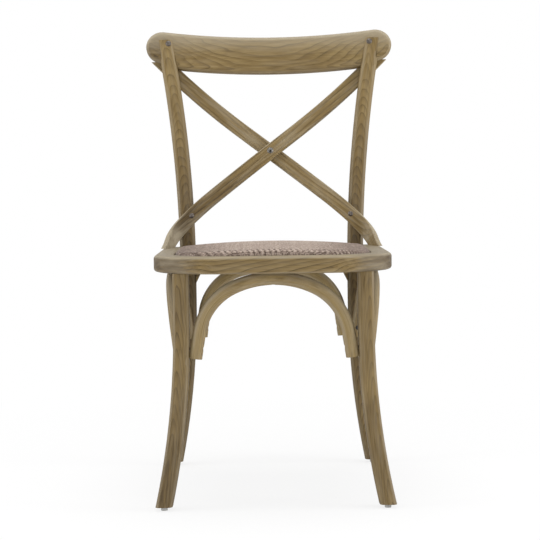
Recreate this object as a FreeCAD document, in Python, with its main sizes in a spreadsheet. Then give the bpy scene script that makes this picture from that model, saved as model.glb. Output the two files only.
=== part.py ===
"""Cross back chair: a bentwood frame with two crossing back strips and a crowned woven seat.

Millimetres, +Z up, front of the chair towards -Y, origin on the floor under the middle of the chair.
"""
import FreeCAD, Part
import math
import os

import Sketcher

Vector = FreeCAD.Vector
Rotation = FreeCAD.Rotation
Placement = FreeCAD.Placement

DIMENSIONS = {
    # Seat ring
    "seat_width": 443,
    "seat_depth": 444,
    "seat_height": 455,
    "ring_thickness": 31,
    "ring_front_radius": 130,
    "ring_rear_radius": 34,
    "ring_top_round": 8,
    "ring_bottom_round": 6,
    "ring_inner_round": 2,
    "rail_width": 37.5,
    "ledge_width": 21.5,
    "rebate_depth": 13,
    "rebate_rear_radius": 28,
    "opening_rear_radius": 12,
    "seat_front": 258,
    "front_joint_reach": 108,
    "back_joint_reach": 125,
    "tongue_thickness": 10,
    "tongue_length": 12,
    "tongue_width": 24,
    "tongue_inset": 9,
    "tongue_drop": 2,
    # Seat panel
    "board_thickness": 9,
    "panel_gap": 2.6,
    "weave_thickness": 1.6,
    "crown_rise": 16,
    "crown_radius": 2400,
    "crown_edge_round": 8,
    # Rear legs, which run on as the back posts
    "post_size": 32,
    "post_corner": 10,
    "post_reach": 172,
    "post_inset": 4,
    "post_bend_low": 345,
    "post_bend_high": 410,
    "post_top": 882,
    "post_top_splay": 45,
    "post_top_rake": 57.5,
    "post_foot_splay": 34,
    "post_foot_rake": 16,
    # Front legs
    "leg_size": 30,
    "leg_corner": 8,
    "leg_reach": 168,
    "leg_setback": 52,
    "leg_bend": 330,
    "leg_foot_splay": 33.5,
    "leg_foot_rake": 47,
    "tenon_diameter": 22,
    "tenon_length": 24,
    # Crest rail
    "crest_middle_height": 855,
    "crest_half_length": 254.5,
    "crest_above": 35.4,
    "crest_below": 42,
    "crest_thickness": 26,
    "crest_bow_radius": 1400,
    "crest_top_radius": 2700,
    "crest_bottom_radius": 2473,
    "crest_ear_start": 188,
    "crest_ear_angle": 20,
    "crest_upper_corner": 35,
    "crest_lower_corner": 31,
    "crest_ear_blend": 120,
    "crest_round": 9,
    "crest_setback": 4,
    "crest_housing": 12,
    # Crossing strips
    "strip_width": 30,
    "strip_thickness": 10,
    "strip_corner": 2.5,
    "strip_housing": 2.5,
    "cross_height": 648,
    "strip_quarter_reach": 100,
    "strip_quarter_rise": 77.3,
    "strip_seat_height": 820,
    "strip_top": 838,
    "strip_screw_reach": 162,
    "strip_screw_height": 518.6,
    "strip_knee_reach": 201.5,
    "strip_knee_height": 474,
    "strip_knee_forward": 17,
    "strip_foot_reach": 209.5,
    "strip_foot_forward": 45,
    "strip_knee_twist": 45,
    "strip_foot_twist": 58,
    # Round bentwood arches
    "arch_diameter": 24.5,
    "arch_end_height": 268.5,
    "arch_sink": 1.3,
    "front_arch_crown": 25.2,
    "front_arch_shoulder": 110.7,
    "front_arch_tilt": 9.2,
    "rear_arch_crown": 17.2,
    "rear_arch_shoulder": 104,
    "rear_arch_tilt": 7.5,
    "side_arch_crown": 14,
    "side_arch_shoulder": 104,
    "side_arch_tilt": 6.5,
    "side_arch_crown_reach": 190,
    # Rear corner blocks
    "block_width": 22,
    "block_height": 44,
    "block_depth": 25,
    # Fasteners and feet
    "fit_clearance": 0.15,
    "crest_screw_head": 12,
    "crest_screw_dome": 3.2,
    "crest_screw_shank": 5,
    "crest_screw_length": 26,
    "crest_screw_inward": 7,
    "crest_screw_rise": 16,
    "strip_screw_head": 11,
    "strip_screw_dome": 2.6,
    "strip_screw_shank": 4.5,
    "strip_screw_length": 30,
    "strip_screw_lean": 12,
    "back_screw_head": 9,
    "back_screw_dome": 2,
    "back_screw_shank": 4,
    "back_screw_length": 24,
    "bolt_head": 13,
    "bolt_dome": 2.6,
    "bolt_shank": 6,
    "bolt_socket": 4,
    "bolt_socket_depth": 1.8,
    "nut_size": 12,
    "nut_thickness": 5,
    "arch_screw_head": 9,
    "arch_screw_shank": 4.5,
    "arch_screw_length": 30,
    "arch_screw_rise": 18,
    "arch_screw_recess": 3,
    "arch_screw_head_thickness": 3,
    "crown_screw_length": 30,
    "frame_bolt_head": 11,
    "frame_bolt_head_thickness": 4,
    "frame_bolt_shank": 6,
    "frame_bolt_length": 46,
    "frame_bolt_below": 17,
    "barrel_diameter": 10,
    "barrel_length": 14,
    "board_screw_head": 8,
    "board_screw_shank": 4,
    "board_screw_length": 22,
    "board_screw_head_thickness": 2.5,
    "board_screw_front_reach": 90,
    "dowel_diameter": 6,
    "dowel_in_ring": 12,
    "dowel_in_strip": 10,
    "glide_height": 7,
    "glide_diameter": 12,
    "glide_shank": 3,
    "glide_shank_length": 16,
}

doc = FreeCAD.newDocument("CrossBackChair")


def make_sheet():
    """Put every driving dimension in a spreadsheet cell with its name as alias."""
    sheet = doc.addObject("Spreadsheet::Sheet", "dims")
    for row, (alias, size) in enumerate(DIMENSIONS.items(), 1):
        sheet.set(f"A{row}", alias)
        sheet.set(f"B{row}", str(size))
        sheet.setAlias(f"B{row}", alias)
    doc.recompute()
    return sheet


SHEET = make_sheet()


def named(expression):
    """Turn bare dimension names of an expression into cells of the sheet."""
    words = expression.replace("(", "( ").replace(")", " )").split()
    return " ".join("dims." + word if word in DIMENSIONS else word for word in words)


def number(expression):
    """Value of an expression on the sheet, in millimetres or degrees."""
    value = SHEET.evalExpression(named(expression))
    return float(getattr(value, "Value", value))


def bind(item, **expressions):
    """Tie properties of an object to cells of the sheet."""
    for name, expression in expressions.items():
        item.setExpression(name, named(expression))
    return item


def new_body(name):
    return doc.addObject("PartDesign::Body", name)


def attach(body, name, role, lift=None):
    """Empty sketch on an origin plane of the body, lifted along that plane's normal."""
    sketch = body.newObject("Sketcher::SketchObject", name)
    planes = [item for item in body.Origin.OriginFeatures if item.Role == role]
    sketch.AttachmentSupport = [(planes[0], "")]
    sketch.MapMode = "FlatFace"
    if lift:
        sketch.setExpression("AttachmentOffset.Base.z", named(lift))
    return sketch


def constrain(sketch, constraint, name, expression):
    """Add a named dimension that follows the sheet."""
    index = sketch.addConstraint(constraint)
    sketch.renameConstraint(index, name)
    sketch.setExpression("Constraints." + name, named(expression))


def hold_side(sketch, kind, edge, expression, name):
    """Fix an edge at a signed distance from the sketch origin."""
    distance = number(expression)
    if distance >= 0:
        constrain(sketch, Sketcher.Constraint(kind, -1, 1, edge, 1, distance), name, expression)
    else:
        rule = Sketcher.Constraint(kind, edge, 1, -1, 1, -distance)
        constrain(sketch, rule, name, f"-( {expression} )")


def draw_rounded(sketch, left, right, low, high, corners):
    """Closed rectangle with four corner arcs, counter-clockwise from the low left corner."""
    x0, x1, y0, y1 = (number(side) for side in (left, right, low, high))
    a, b, c, d = (number(corner) for corner in corners)
    lines = [
        ((x0 + a, y0), (x1 - b, y0)),
        ((x1, y0 + b), (x1, y1 - c)),
        ((x1 - c, y1), (x0 + d, y1)),
        ((x0, y1 - d), (x0, y0 + a)),
    ]
    arcs = [
        ((x1 - b, y0 + b), b, -90),
        ((x1 - c, y1 - c), c, 0),
        ((x0 + d, y1 - d), d, 90),
        ((x0 + a, y0 + a), a, 180),
    ]
    for (start, end), (centre, radius, turn) in zip(lines, arcs):
        sketch.addGeometry(Part.LineSegment(Vector(*start), Vector(*end)), False)
        circle = Part.Circle(Vector(*centre), Vector(0, 0, 1), radius)
        arc = Part.ArcOfCircle(circle, math.radians(turn), math.radians(turn + 90))
        sketch.addGeometry(arc, False)
    for edge in range(8):
        sketch.addConstraint(Sketcher.Constraint("Tangent", edge, 2, (edge + 1) % 8, 1))
    for edge, rule in ((0, "Horizontal"), (4, "Horizontal"), (2, "Vertical"), (6, "Vertical")):
        sketch.addConstraint(Sketcher.Constraint(rule, edge))
    hold_side(sketch, "DistanceY", 0, low, "low_side")
    hold_side(sketch, "DistanceX", 2, right, "right_side")
    hold_side(sketch, "DistanceY", 4, high, "high_side")
    hold_side(sketch, "DistanceX", 6, left, "left_side")
    names = ("low_left", "low_right", "high_right", "high_left")
    for edge, corner, name in zip((7, 1, 3, 5), corners, names):
        rule = Sketcher.Constraint("Radius", edge, number(corner))
        constrain(sketch, rule, name + "_radius", corner)


def draw_square(sketch, centre_x, centre_y, size, corner):
    """Rounded square section of a leg or post."""
    half = f"( {size} ) / 2"
    draw_rounded(
        sketch,
        f"{centre_x} - {half}",
        f"{centre_x} + {half}",
        f"{centre_y} - {half}",
        f"{centre_y} + {half}",
        [corner] * 4,
    )


def draw_polygon(sketch, points):
    """Closed outline of straight edges through points of the sketch."""
    corners = [Vector(*point) for point in points]
    count = len(corners)
    for index, corner in enumerate(corners):
        sketch.addGeometry(Part.LineSegment(corner, corners[(index + 1) % count]), False)
    for index in range(count):
        sketch.addConstraint(Sketcher.Constraint("Coincident", index, 2, (index + 1) % count, 1))


def pad(body, name, sketch, length, **options):
    feature = body.newObject("PartDesign::Pad", name)
    feature.Profile = sketch
    bind(feature, Length=length)
    for option, value in options.items():
        setattr(feature, option, value)
    doc.recompute()
    return feature


def pocket(body, name, sketch, length, **options):
    """Pocket that has to take volume away."""
    before = body.Shape.Volume
    feature = body.newObject("PartDesign::Pocket", name)
    feature.Profile = sketch
    bind(feature, Length=length)
    for option, value in options.items():
        setattr(feature, option, value)
    doc.recompute()
    if feature.Shape.Volume >= before:
        raise RuntimeError(f"{name} cuts nothing")
    return feature


def fillet(body, name, feature, edges, radius):
    """Round the chosen edges of a feature."""
    item = body.newObject("PartDesign::Fillet", name)
    item.Base = (feature, edges)
    bind(item, Radius=radius)
    doc.recompute()
    return item


def edge_names(shape, wanted):
    """Names of the edges that a test picks."""
    return [f"Edge{index}" for index, edge in enumerate(shape.Edges, 1) if wanted(edge)]


def cut(name, base, tools):
    """Boolean cut of one object by others."""
    item = doc.addObject("Part::Cut", name)
    item.Base = base
    item.Tool = tools[0] if len(tools) == 1 else group(name + "_tools", tools)
    doc.recompute()
    return item


def common(name, base, tool):
    item = doc.addObject("Part::Common", name)
    item.Base = base
    item.Tool = tool
    doc.recompute()
    return item


def fuse(name, items):
    item = doc.addObject("Part::MultiFuse", name)
    item.Shapes = items
    doc.recompute()
    return item


def group(name, items):
    """Separate solids held together as one object."""
    item = doc.addObject("Part::Compound", name)
    item.Links = items
    doc.recompute()
    return item


def mirrored(name, source):
    """The same object on the other side of the chair."""
    item = doc.addObject("Part::Mirroring", name)
    item.Source = source
    item.Normal = Vector(1, 0, 0)
    doc.recompute()
    return item


def placed(name, shape, placement):
    """Copy of a shape at another place."""
    item = doc.addObject("Part::Feature", name)
    item.Shape = shape.copy()
    item.Placement = placement.multiply(item.Placement)
    return item


def box(name, low, high):
    """Box between two corners given as expressions."""
    item = doc.addObject("Part::Box", name)
    spans = [f"( {top} ) - ( {bottom} )" for bottom, top in zip(low, high)]
    bind(item, Length=spans[0], Width=spans[1], Height=spans[2])
    for axis, expression in zip("xyz", low):
        item.setExpression("Placement.Base." + axis, named(expression))
    doc.recompute()
    return item


def aim(point, direction):
    """Placement that brings +Z to a direction at a point."""
    return Placement(Vector(*point), Rotation(Vector(0, 0, 1), Vector(*direction)))


# Angle that a bend runs on before its end is cut level, and the overshoot of cutting tools
BEND_OVERRUN = 1.5
MARGIN = 1

# Places that several pieces share
RING_LOW = "seat_height - ring_thickness"
POST_Y = "( seat_depth - seat_front - post_inset )"
LEG_Y = "( leg_setback - seat_front )"


def bend_radius(rise, reach):
    """Radius of an arc that starts upright and moves sideways by reach over a rise."""
    return (rise * rise + reach * reach) / (2 * reach)


class Bend:
    """One planar bend of a leg: from a height, towards a splay and a rake, to an end height."""

    def __init__(self, name, start, end, splay, rake):
        self.name = name
        self.start = number(start)
        self.rise = number(end) - self.start
        self.splay = number(splay)
        self.rake = number(rake)
        self.reach = math.hypot(self.splay, self.rake)
        self.radius = bend_radius(abs(self.rise), self.reach)

    def shift(self, height):
        """Sideways and backwards shift of the centre line at a height, and its slope."""
        rise = min(abs(height - self.start), self.radius)
        across = self.radius - math.sqrt(self.radius**2 - rise**2)
        share = across / self.reach
        slope = rise / math.sqrt(self.radius**2 - rise**2) / self.reach
        return share * self.splay, share * self.rake, slope * self.splay, slope * self.rake


POST_UP = Bend("upper_bend", "post_bend_high", "post_top", "post_top_splay", "post_top_rake")
POST_DOWN = Bend("lower_bend", "post_bend_low", "glide_height", "post_foot_splay", "post_foot_rake")
LEG_DOWN = Bend("lower_bend", "leg_bend", "glide_height", "leg_foot_splay", "- leg_foot_rake")


def post_centre(height):
    """Centre of a post at a height, for the +X side."""
    bend = POST_UP if height > number("post_bend_high") else POST_DOWN
    across, back = 0.0, 0.0
    if height > number("post_bend_high") or height < number("post_bend_low"):
        across, back = bend.shift(height)[:2]
    return number("post_reach") + across, number(POST_Y) + back


def leg_centre(height):
    """Centre of a front leg at a height, for the +X side."""
    across, forward = LEG_DOWN.shift(height)[:2] if height < number("leg_bend") else (0.0, 0.0)
    return number("leg_reach") + across, number(LEG_Y) + forward


def add_bend(body, bend, centre_x, centre_y, size, corner):
    """Revolve the leg section about a level axis, a little past the end height."""
    sketch = attach(body, bend.name + "_section", "XY_Plane", str(bend.start))
    draw_square(sketch, centre_x, centre_y, size, corner)
    outward = Vector(bend.splay, bend.rake, 0).normalize()
    axis_point = Vector(number(centre_x), number(centre_y), 0) + outward * bend.radius
    along = Vector(-outward.y, outward.x, 0) * number(size)
    axis = sketch.addGeometry(Part.LineSegment(axis_point - along, axis_point + along), True)
    sketch.addConstraint(Sketcher.Constraint("Block", axis))
    feature = body.newObject("PartDesign::Revolution", bend.name)
    feature.Profile = sketch
    feature.ReferenceAxis = (sketch, ["Axis0"])
    feature.Reversed = bend.rise < 0
    feature.Angle = math.degrees(math.asin(min(1.0, abs(bend.rise) / bend.radius))) + BEND_OVERRUN
    doc.recompute()


def trim_end(body, name, height, upward):
    """Cut a leg flat at a height."""
    sketch = attach(body, name + "_outline", "XY_Plane", height)
    side = number("seat_width")
    draw_polygon(sketch, [(0, -side), (side, -side), (side, side), (0, side)])
    pocket(body, name, sketch, "seat_height", Reversed=upward)


def make_post(name, growth):
    """Rear leg and back post in one bent piece, its section grown by a clearance."""
    body = new_body(name)
    size = f"post_size + 2 * {growth}"
    corner = f"post_corner + {growth}"
    section = attach(body, "straight_section", "XY_Plane", "post_bend_low")
    draw_square(section, "post_reach", POST_Y, size, corner)
    pad(body, "straight", section, "post_bend_high - post_bend_low")
    add_bend(body, POST_UP, "post_reach", POST_Y, size, corner)
    add_bend(body, POST_DOWN, "post_reach", POST_Y, size, corner)
    trim_end(body, "top_cut", "post_top", True)
    trim_end(body, "foot_cut", "glide_height", False)
    return body


def make_front_leg(name):
    """Front leg: straight under the seat, curving out to the foot, with a round tenon on top."""
    body = new_body(name)
    section = attach(body, "straight_section", "XY_Plane", "leg_bend")
    draw_square(section, "leg_reach", LEG_Y, "leg_size", "leg_corner")
    pad(body, "straight", section, f"{RING_LOW} - leg_bend")
    add_bend(body, LEG_DOWN, "leg_reach", LEG_Y, "leg_size", "leg_corner")
    trim_end(body, "foot_cut", "glide_height", False)
    tenon = attach(body, "tenon_section", "XY_Plane", RING_LOW)
    centre = Vector(number("leg_reach"), number(LEG_Y))
    tenon.addGeometry(Part.Circle(centre, Vector(0, 0, 1), number("tenon_diameter") / 2), False)
    tenon_width = Sketcher.Constraint("Diameter", 0, number("tenon_diameter"))
    constrain(tenon, tenon_width, "width", "tenon_diameter")
    hold_centre(tenon, "leg_reach", LEG_Y)
    pad(body, "tenon", tenon, "tenon_length")
    return body


def hold_centre(sketch, across, along):
    """Fix the centre of the first circle of a sketch."""
    x, y = number(across), number(along)
    rule = Sketcher.Constraint("DistanceX", -1, 1, 0, 3, x)
    constrain(sketch, rule, "across", across)
    if y >= 0:
        constrain(sketch, Sketcher.Constraint("DistanceY", -1, 1, 0, 3, y), "along", along)
    else:
        constrain(sketch, Sketcher.Constraint("DistanceY", 0, 3, -1, 1, -y), "along", f"-( {along} )")


def panel_outline(body, name, lift, inset, rear_radius):
    """Outline parallel to the seat ring's outside, set in by a distance."""
    sketch = attach(body, name, "XY_Plane", lift)
    half = f"seat_width / 2 - ( {inset} )"
    front = f"ring_front_radius - ( {inset} )"
    draw_rounded(
        sketch,
        f"-( {half} )",
        half,
        f"( {inset} ) - seat_front",
        f"seat_depth - seat_front - ( {inset} )",
        [front, front, rear_radius, rear_radius],
    )
    return sketch


def make_ring():
    """Blank of the seat ring with its rebate, opening and rounded edges."""
    body = new_body("ring_blank")
    outside = panel_outline(body, "ring_outline", RING_LOW, "0", "ring_rear_radius")
    pad(body, "ring", outside, "ring_thickness")
    rebate = panel_outline(body, "rebate_outline", "seat_height", "rail_width", "rebate_rear_radius")
    pocket(body, "rebate", rebate, "rebate_depth")
    inset = "rail_width + ledge_width"
    opening = panel_outline(body, "opening_outline", "seat_height", inset, "opening_rear_radius")
    last = pocket(body, "opening", opening, "ring_thickness")
    top, low = number("seat_height"), number(RING_LOW)
    inner = number("seat_width / 2 - rail_width")

    def level(edge, height):
        box_of_edge = edge.BoundBox
        return abs(box_of_edge.ZMin - height) < 0.01 and abs(box_of_edge.ZMax - height) < 0.01

    def outer(edge):
        middle = edge.valueAt((edge.FirstParameter + edge.LastParameter) / 2)
        front = number("rail_width - seat_front")
        back = number("seat_depth - seat_front - rail_width")
        corner = number("ring_front_radius - rail_width")
        inside = abs(middle.x) < inner + 0.1 and front - 0.1 < middle.y < back + 0.1
        if inside and middle.y < front + corner and abs(middle.x) > inner - corner:
            centre = Vector(math.copysign(inner - corner, middle.x), front + corner, middle.z)
            return middle.distanceToPoint(centre) > corner + 0.1
        return not inside

    rounds = (
        ("top_round", lambda edge: level(edge, top) and outer(edge), "ring_top_round"),
        ("bottom_round", lambda edge: level(edge, low) and outer(edge), "ring_bottom_round"),
        ("inner_round", lambda edge: level(edge, top) and not outer(edge), "ring_inner_round"),
    )
    for name, wanted, radius in rounds:
        last = fillet(body, name, last, edge_names(last.Shape, wanted), radius)
    return body


def rail_tool(name, reach, near, far, tongue_near, tongue_far):
    """Block that takes a straight rail with its two end tongues out of the ring."""
    middle = f"{RING_LOW} + ring_thickness / 2"
    wide = box(
        name + "_block",
        (f"- {reach}", near, f"{RING_LOW} - {MARGIN}"),
        (reach, far, f"seat_height + {MARGIN}"),
    )
    tongue = box(
        name + "_tongue",
        (f"- {reach} - tongue_length", tongue_near, f"{middle} - tongue_thickness / 2 - tongue_drop"),
        (f"{reach} + tongue_length", tongue_far, f"{middle} + tongue_thickness / 2 - tongue_drop"),
    )
    return fuse(name, [wide, tongue])


def make_crown(name, base, inset, rear_radius, sink, round_size):
    """Crowned panel: an upright outline under a wide sphere, its top edge rounded."""
    body = new_body(name + "_block")
    outline = panel_outline(body, "outline", base, inset, rear_radius)
    pad(body, "block", outline, f"seat_height + crown_rise - ( {base} )")
    sphere = doc.addObject("Part::Sphere", name + "_sphere")
    bind(sphere, Radius=f"crown_radius - ( {sink} )")
    sphere.setExpression("Placement.Base.y", named("seat_depth / 2 - seat_front"))
    sphere.setExpression("Placement.Base.z", named("seat_height + crown_rise - crown_radius"))
    crowned = common(name + "_crowned", body, sphere)
    top_face = max(crowned.Shape.Faces, key=lambda face: face.CenterOfMass.z)
    chosen = [index for index, edge in enumerate(crowned.Shape.Edges, 1) if in_face(edge, top_face)]
    rounded = doc.addObject("Part::Fillet", name + "_rounded")
    rounded.Base = crowned
    radius = number(round_size)
    rounded.Edges = [(index, radius, radius) for index in chosen]
    doc.recompute()
    return rounded


def in_face(edge, face):
    return any(edge.isSame(other) for other in face.Edges)


class CrestFrame:
    """Leaning frame of the crest: x across, y through it to the back, z up along the posts."""

    def __init__(self):
        height = number("crest_middle_height")
        self.lean = math.degrees(math.atan(POST_UP.shift(height)[3]))
        self.reach, back = post_centre(height)
        self.place = Placement(Vector(0, back, height), Rotation(Vector(1, 0, 0), -self.lean))
        self.front = number("crest_setback - post_size / 2")
        bow = number("crest_bow_radius")
        self.bow_centre = self.front - math.sqrt(bow**2 - self.reach**2)

    def point(self, across, through, up):
        return self.place.multVec(Vector(across, through, up))

    def direction(self, across, through, up):
        return self.place.Rotation.multVec(Vector(across, through, up))


CREST = CrestFrame()


def arc_through(start, middle, end):
    return Part.Arc(Vector(*start), Vector(*middle), Vector(*end))


def make_crest():
    """Crest rail blank: bowed in plan, smiling from the front, with ears and soft edges."""
    half = number("crest_half_length")
    above, below = number("crest_above"), number("crest_below")
    ear = number("crest_ear_start")
    top_end = above + half**2 / (2 * number("crest_top_radius"))
    ear_low = -below + ear**2 / (2 * number("crest_bottom_radius"))
    side_low = ear_low + (half - ear) * math.tan(math.radians(number("crest_ear_angle")))

    front = new_body("crest_front")
    sketch = attach(front, "front_outline", "XZ_Plane")
    edges = [
        arc_through((-ear, ear_low), (0, -below), (ear, ear_low)),
        Part.LineSegment(Vector(ear, ear_low), Vector(half, side_low)),
        Part.LineSegment(Vector(half, side_low), Vector(half, top_end)),
        arc_through((half, top_end), (0, above), (-half, top_end)),
        Part.LineSegment(Vector(-half, top_end), Vector(-half, side_low)),
        Part.LineSegment(Vector(-half, side_low), Vector(-ear, ear_low)),
    ]
    for edge in edges:
        sketch.addGeometry(edge, False)
    doc.recompute()
    block = pad(front, "front_block", sketch, "crest_bow_radius / 4", SideType="Symmetric")
    for name, across, radius in (
        ("upper_corners", (half, top_end), "crest_upper_corner"),
        ("lower_corners", (half, side_low), "crest_lower_corner"),
        ("ear_blends", (ear, ear_low), "crest_ear_blend"),
    ):
        chosen = edge_names(block.Shape, lambda edge: runs_through(edge, across))
        block = fillet(front, name, block, chosen, radius)

    plan = new_body("crest_plan")
    sketch = attach(plan, "plan_outline", "XY_Plane", f"-( crest_below + crest_round )")
    centre, bow = CREST.bow_centre, number("crest_bow_radius")
    outer = bow + number("crest_thickness")
    wide = half + number("crest_round")
    near = centre + math.sqrt(bow**2 - wide**2)
    far = centre + math.sqrt(outer**2 - wide**2)
    for edge in (
        arc_through((wide, near), (0, centre + bow), (-wide, near)),
        Part.LineSegment(Vector(-wide, near), Vector(-wide, far)),
        arc_through((-wide, far), (0, centre + outer), (wide, far)),
        Part.LineSegment(Vector(wide, far), Vector(wide, near)),
    ):
        sketch.addGeometry(edge, False)
    doc.recompute()
    pad(plan, "plan_block", sketch, "2 * crest_below + 2 * crest_above")

    blank = common("crest_common", front, plan)
    rims = [
        index
        for index, edge in enumerate(blank.Shape.Edges, 1)
        if not along_depth(edge)
    ]
    rounded = doc.addObject("Part::Fillet", "crest_blank")
    rounded.Base = blank
    radius = number("crest_round")
    rounded.Edges = [(index, radius, radius) for index in rims]
    doc.recompute()
    rounded.Placement = CREST.place
    doc.recompute()
    return rounded


def runs_through(edge, across):
    """True for an edge along Y at a place of the front view, on either side."""
    ends = [vertex.Point for vertex in edge.Vertexes]
    if len(ends) != 2 or abs(ends[0].y - ends[1].y) < 1:
        return False
    return all(abs(abs(end.x) - across[0]) < 0.01 and abs(end.z - across[1]) < 0.01 for end in ends)


def along_depth(edge):
    """True for an edge that runs straight through the crest from front to back."""
    ends = [vertex.Point for vertex in edge.Vertexes]
    if len(ends) != 2 or abs(edge.Length - (ends[1] - ends[0]).Length) > 0.001:
        return False
    return abs(ends[0].x - ends[1].x) < 0.01 and abs(ends[0].z - ends[1].z) < 0.01


class StripPath:
    """Centre line of a crossing strip, from behind one post to the seat in front of the other."""

    def __init__(self, forward):
        thickness = number("strip_thickness")
        self.forward = forward
        seat_height = number("strip_seat_height")
        self.seat_x, seat_y = post_centre(seat_height)
        self.top_slope = POST_UP.shift(seat_height)[3]
        tilt = math.sqrt(1 + self.top_slope**2)
        self.seat_y = seat_y + (number("post_size / 2 - strip_housing") + thickness / 2) * tilt
        screw_height = number("strip_screw_height")
        self.low_slope = POST_UP.shift(screw_height)[3]
        screw_y = post_centre(screw_height)[1]
        self.screw_y = screw_y - number("post_size / 2 - strip_housing") - thickness / 2
        share = number("strip_screw_reach") / (number("strip_screw_reach") + self.seat_x)
        self.cross_y = self.screw_y + (self.seat_y - self.screw_y) * share
        self.slope = (self.seat_y - self.screw_y) / (seat_height - screw_height)
        gap = (thickness / 2 + 2 * number("fit_clearance")) * math.sqrt(1 + self.slope**2)
        self.offset = -gap if forward else gap

    def stations(self):
        """Points from top to foot with the lean of the face and its twist at each."""
        cross = number("cross_height")
        reach, rise = number("strip_quarter_reach"), number("strip_quarter_rise")
        lean = math.degrees(math.atan(self.slope))
        top_lean = math.degrees(math.atan(self.top_slope))
        low_lean = math.degrees(math.atan(self.low_slope))
        twist = number("strip_foot_twist")
        seat_z = number("strip_seat_height")
        over = number("strip_top") + number("strip_width") / 2 - seat_z
        screw = (number("strip_screw_reach"), number("strip_screw_height"))
        knee = (number("strip_knee_reach"), number("strip_knee_height"))
        foot = (number("strip_foot_reach"), number("seat_height"))
        under = number("strip_width") / 2
        knee_y = self.screw_y - number("strip_knee_forward")
        foot_y = self.screw_y - number("strip_foot_forward")
        run = (foot[0] - knee[0]) / (knee[1] - foot[1])
        drift = (foot_y - knee_y) / (knee[1] - foot[1])
        return [
            (self.seat_x + over, self.seat_y + over * self.top_slope, seat_z + over, top_lean, 0),
            (self.seat_x, self.seat_y, seat_z, top_lean, 0),
            (reach, self.along(reach) + self.offset / 2, cross + rise, lean, 0),
            (0, self.cross_y + self.offset, cross, lean, 0),
            (-reach, self.along(-reach) + self.offset / 2, cross - rise, lean, 0),
            (-screw[0], self.screw_y, screw[1], low_lean, 0),
            (-knee[0], knee_y, knee[1], 0, number("strip_knee_twist")),
            (-foot[0], foot_y, foot[1], 0, twist),
            (-foot[0] - under * run, foot_y + under * drift, foot[1] - under, 0, twist),
        ]

    def along(self, across):
        """Depth of the straight line from seat to screw at a distance across."""
        share = (across + number("strip_screw_reach")) / (number("strip_screw_reach") + self.seat_x)
        return self.screw_y + (self.seat_y - self.screw_y) * share


def strip_section(point, tangent, lean, twist, growth):
    """Rounded rectangle across the strip at one station."""
    facing = Rotation(Vector(0, 0, 1), twist).multVec(
        Vector(0, -math.cos(math.radians(lean)), math.sin(math.radians(lean)))
    )
    across = tangent.cross(facing).normalize()
    face = across.cross(tangent).normalize()
    half = number("strip_width") / 2 + growth
    depth = number("strip_thickness") / 2 + growth
    corner = number("strip_corner") + growth
    edges = []
    turns = ((1, 1), (-1, 1), (-1, -1), (1, -1))
    for index, (u, v) in enumerate(turns):
        corner_point = point + across * (u * half) + face * (v * depth)
        along_u, along_v = across * (-u * corner), face * (-v * corner)
        first, last = (along_v, along_u) if index % 2 == 0 else (along_u, along_v)
        centre = corner_point + along_u + along_v
        middle = centre + (along_u + along_v) * (-math.sqrt(0.5))
        edges.append(Part.Arc(corner_point + first, middle, corner_point + last).toShape())
    wire = []
    for index, edge in enumerate(edges):
        wire.append(edge)
        end = edge.Vertexes[-1].Point
        start = edges[(index + 1) % 4].Vertexes[0].Point
        wire.append(Part.LineSegment(end, start).toShape())
    return Part.Wire(wire)


def make_strip(name, path, growth):
    """Loft a strip along a smooth line through its stations, then trim it level at both ends."""
    stations = path.stations()
    points = [Vector(*station[:3]) for station in stations]
    line = Part.BSplineCurve()
    line.interpolate(Points=points)
    parameters = [line.parameter(point) for point in points]
    sections = []
    for index in range(len(points) - 1):
        steps = (0.0, 0.5) if index < len(points) - 2 else (0.0, 0.5, 1.0)
        for step in steps:
            at = parameters[index] + (parameters[index + 1] - parameters[index]) * step
            here, after = stations[index], stations[index + 1]
            lean = here[3] + (after[3] - here[3]) * step
            twist = here[4] + (after[4] - here[4]) * step
            tangent = line.tangent(at)[0]
            sections.append(strip_section(line.value(at), tangent, lean, twist, growth))
    loft = doc.addObject("Part::Feature", name + "_loft")
    loft.Shape = Part.makeLoft(sections, True)
    span = ("- seat_width", "seat_width")
    low = f"seat_height - {growth}"
    lowest = (span[0], "- seat_depth", low)
    highest = (span[1], "seat_depth", f"strip_top + {growth}")
    keep = box(name + "_span", lowest, highest)
    return common(name + "_blank", loft, keep)


def arch_geometry(span, rise, crown_angle, shoulder, tilt):
    """Crown radius and straight length of an arch with its half span, rise and bends given."""
    first, last = math.radians(crown_angle), math.radians(90 - tilt)
    a11, a12 = math.sin(first), math.cos(last)
    a21, a22 = 1 - math.cos(first), math.sin(last)
    b1 = span - shoulder * (math.sin(last) - math.sin(first))
    b2 = rise - shoulder * (math.cos(first) - math.cos(last))
    determinant = a11 * a22 - a12 * a21
    return (b1 * a22 - b2 * a12) / determinant, (a11 * b2 - a21 * b1) / determinant


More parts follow.
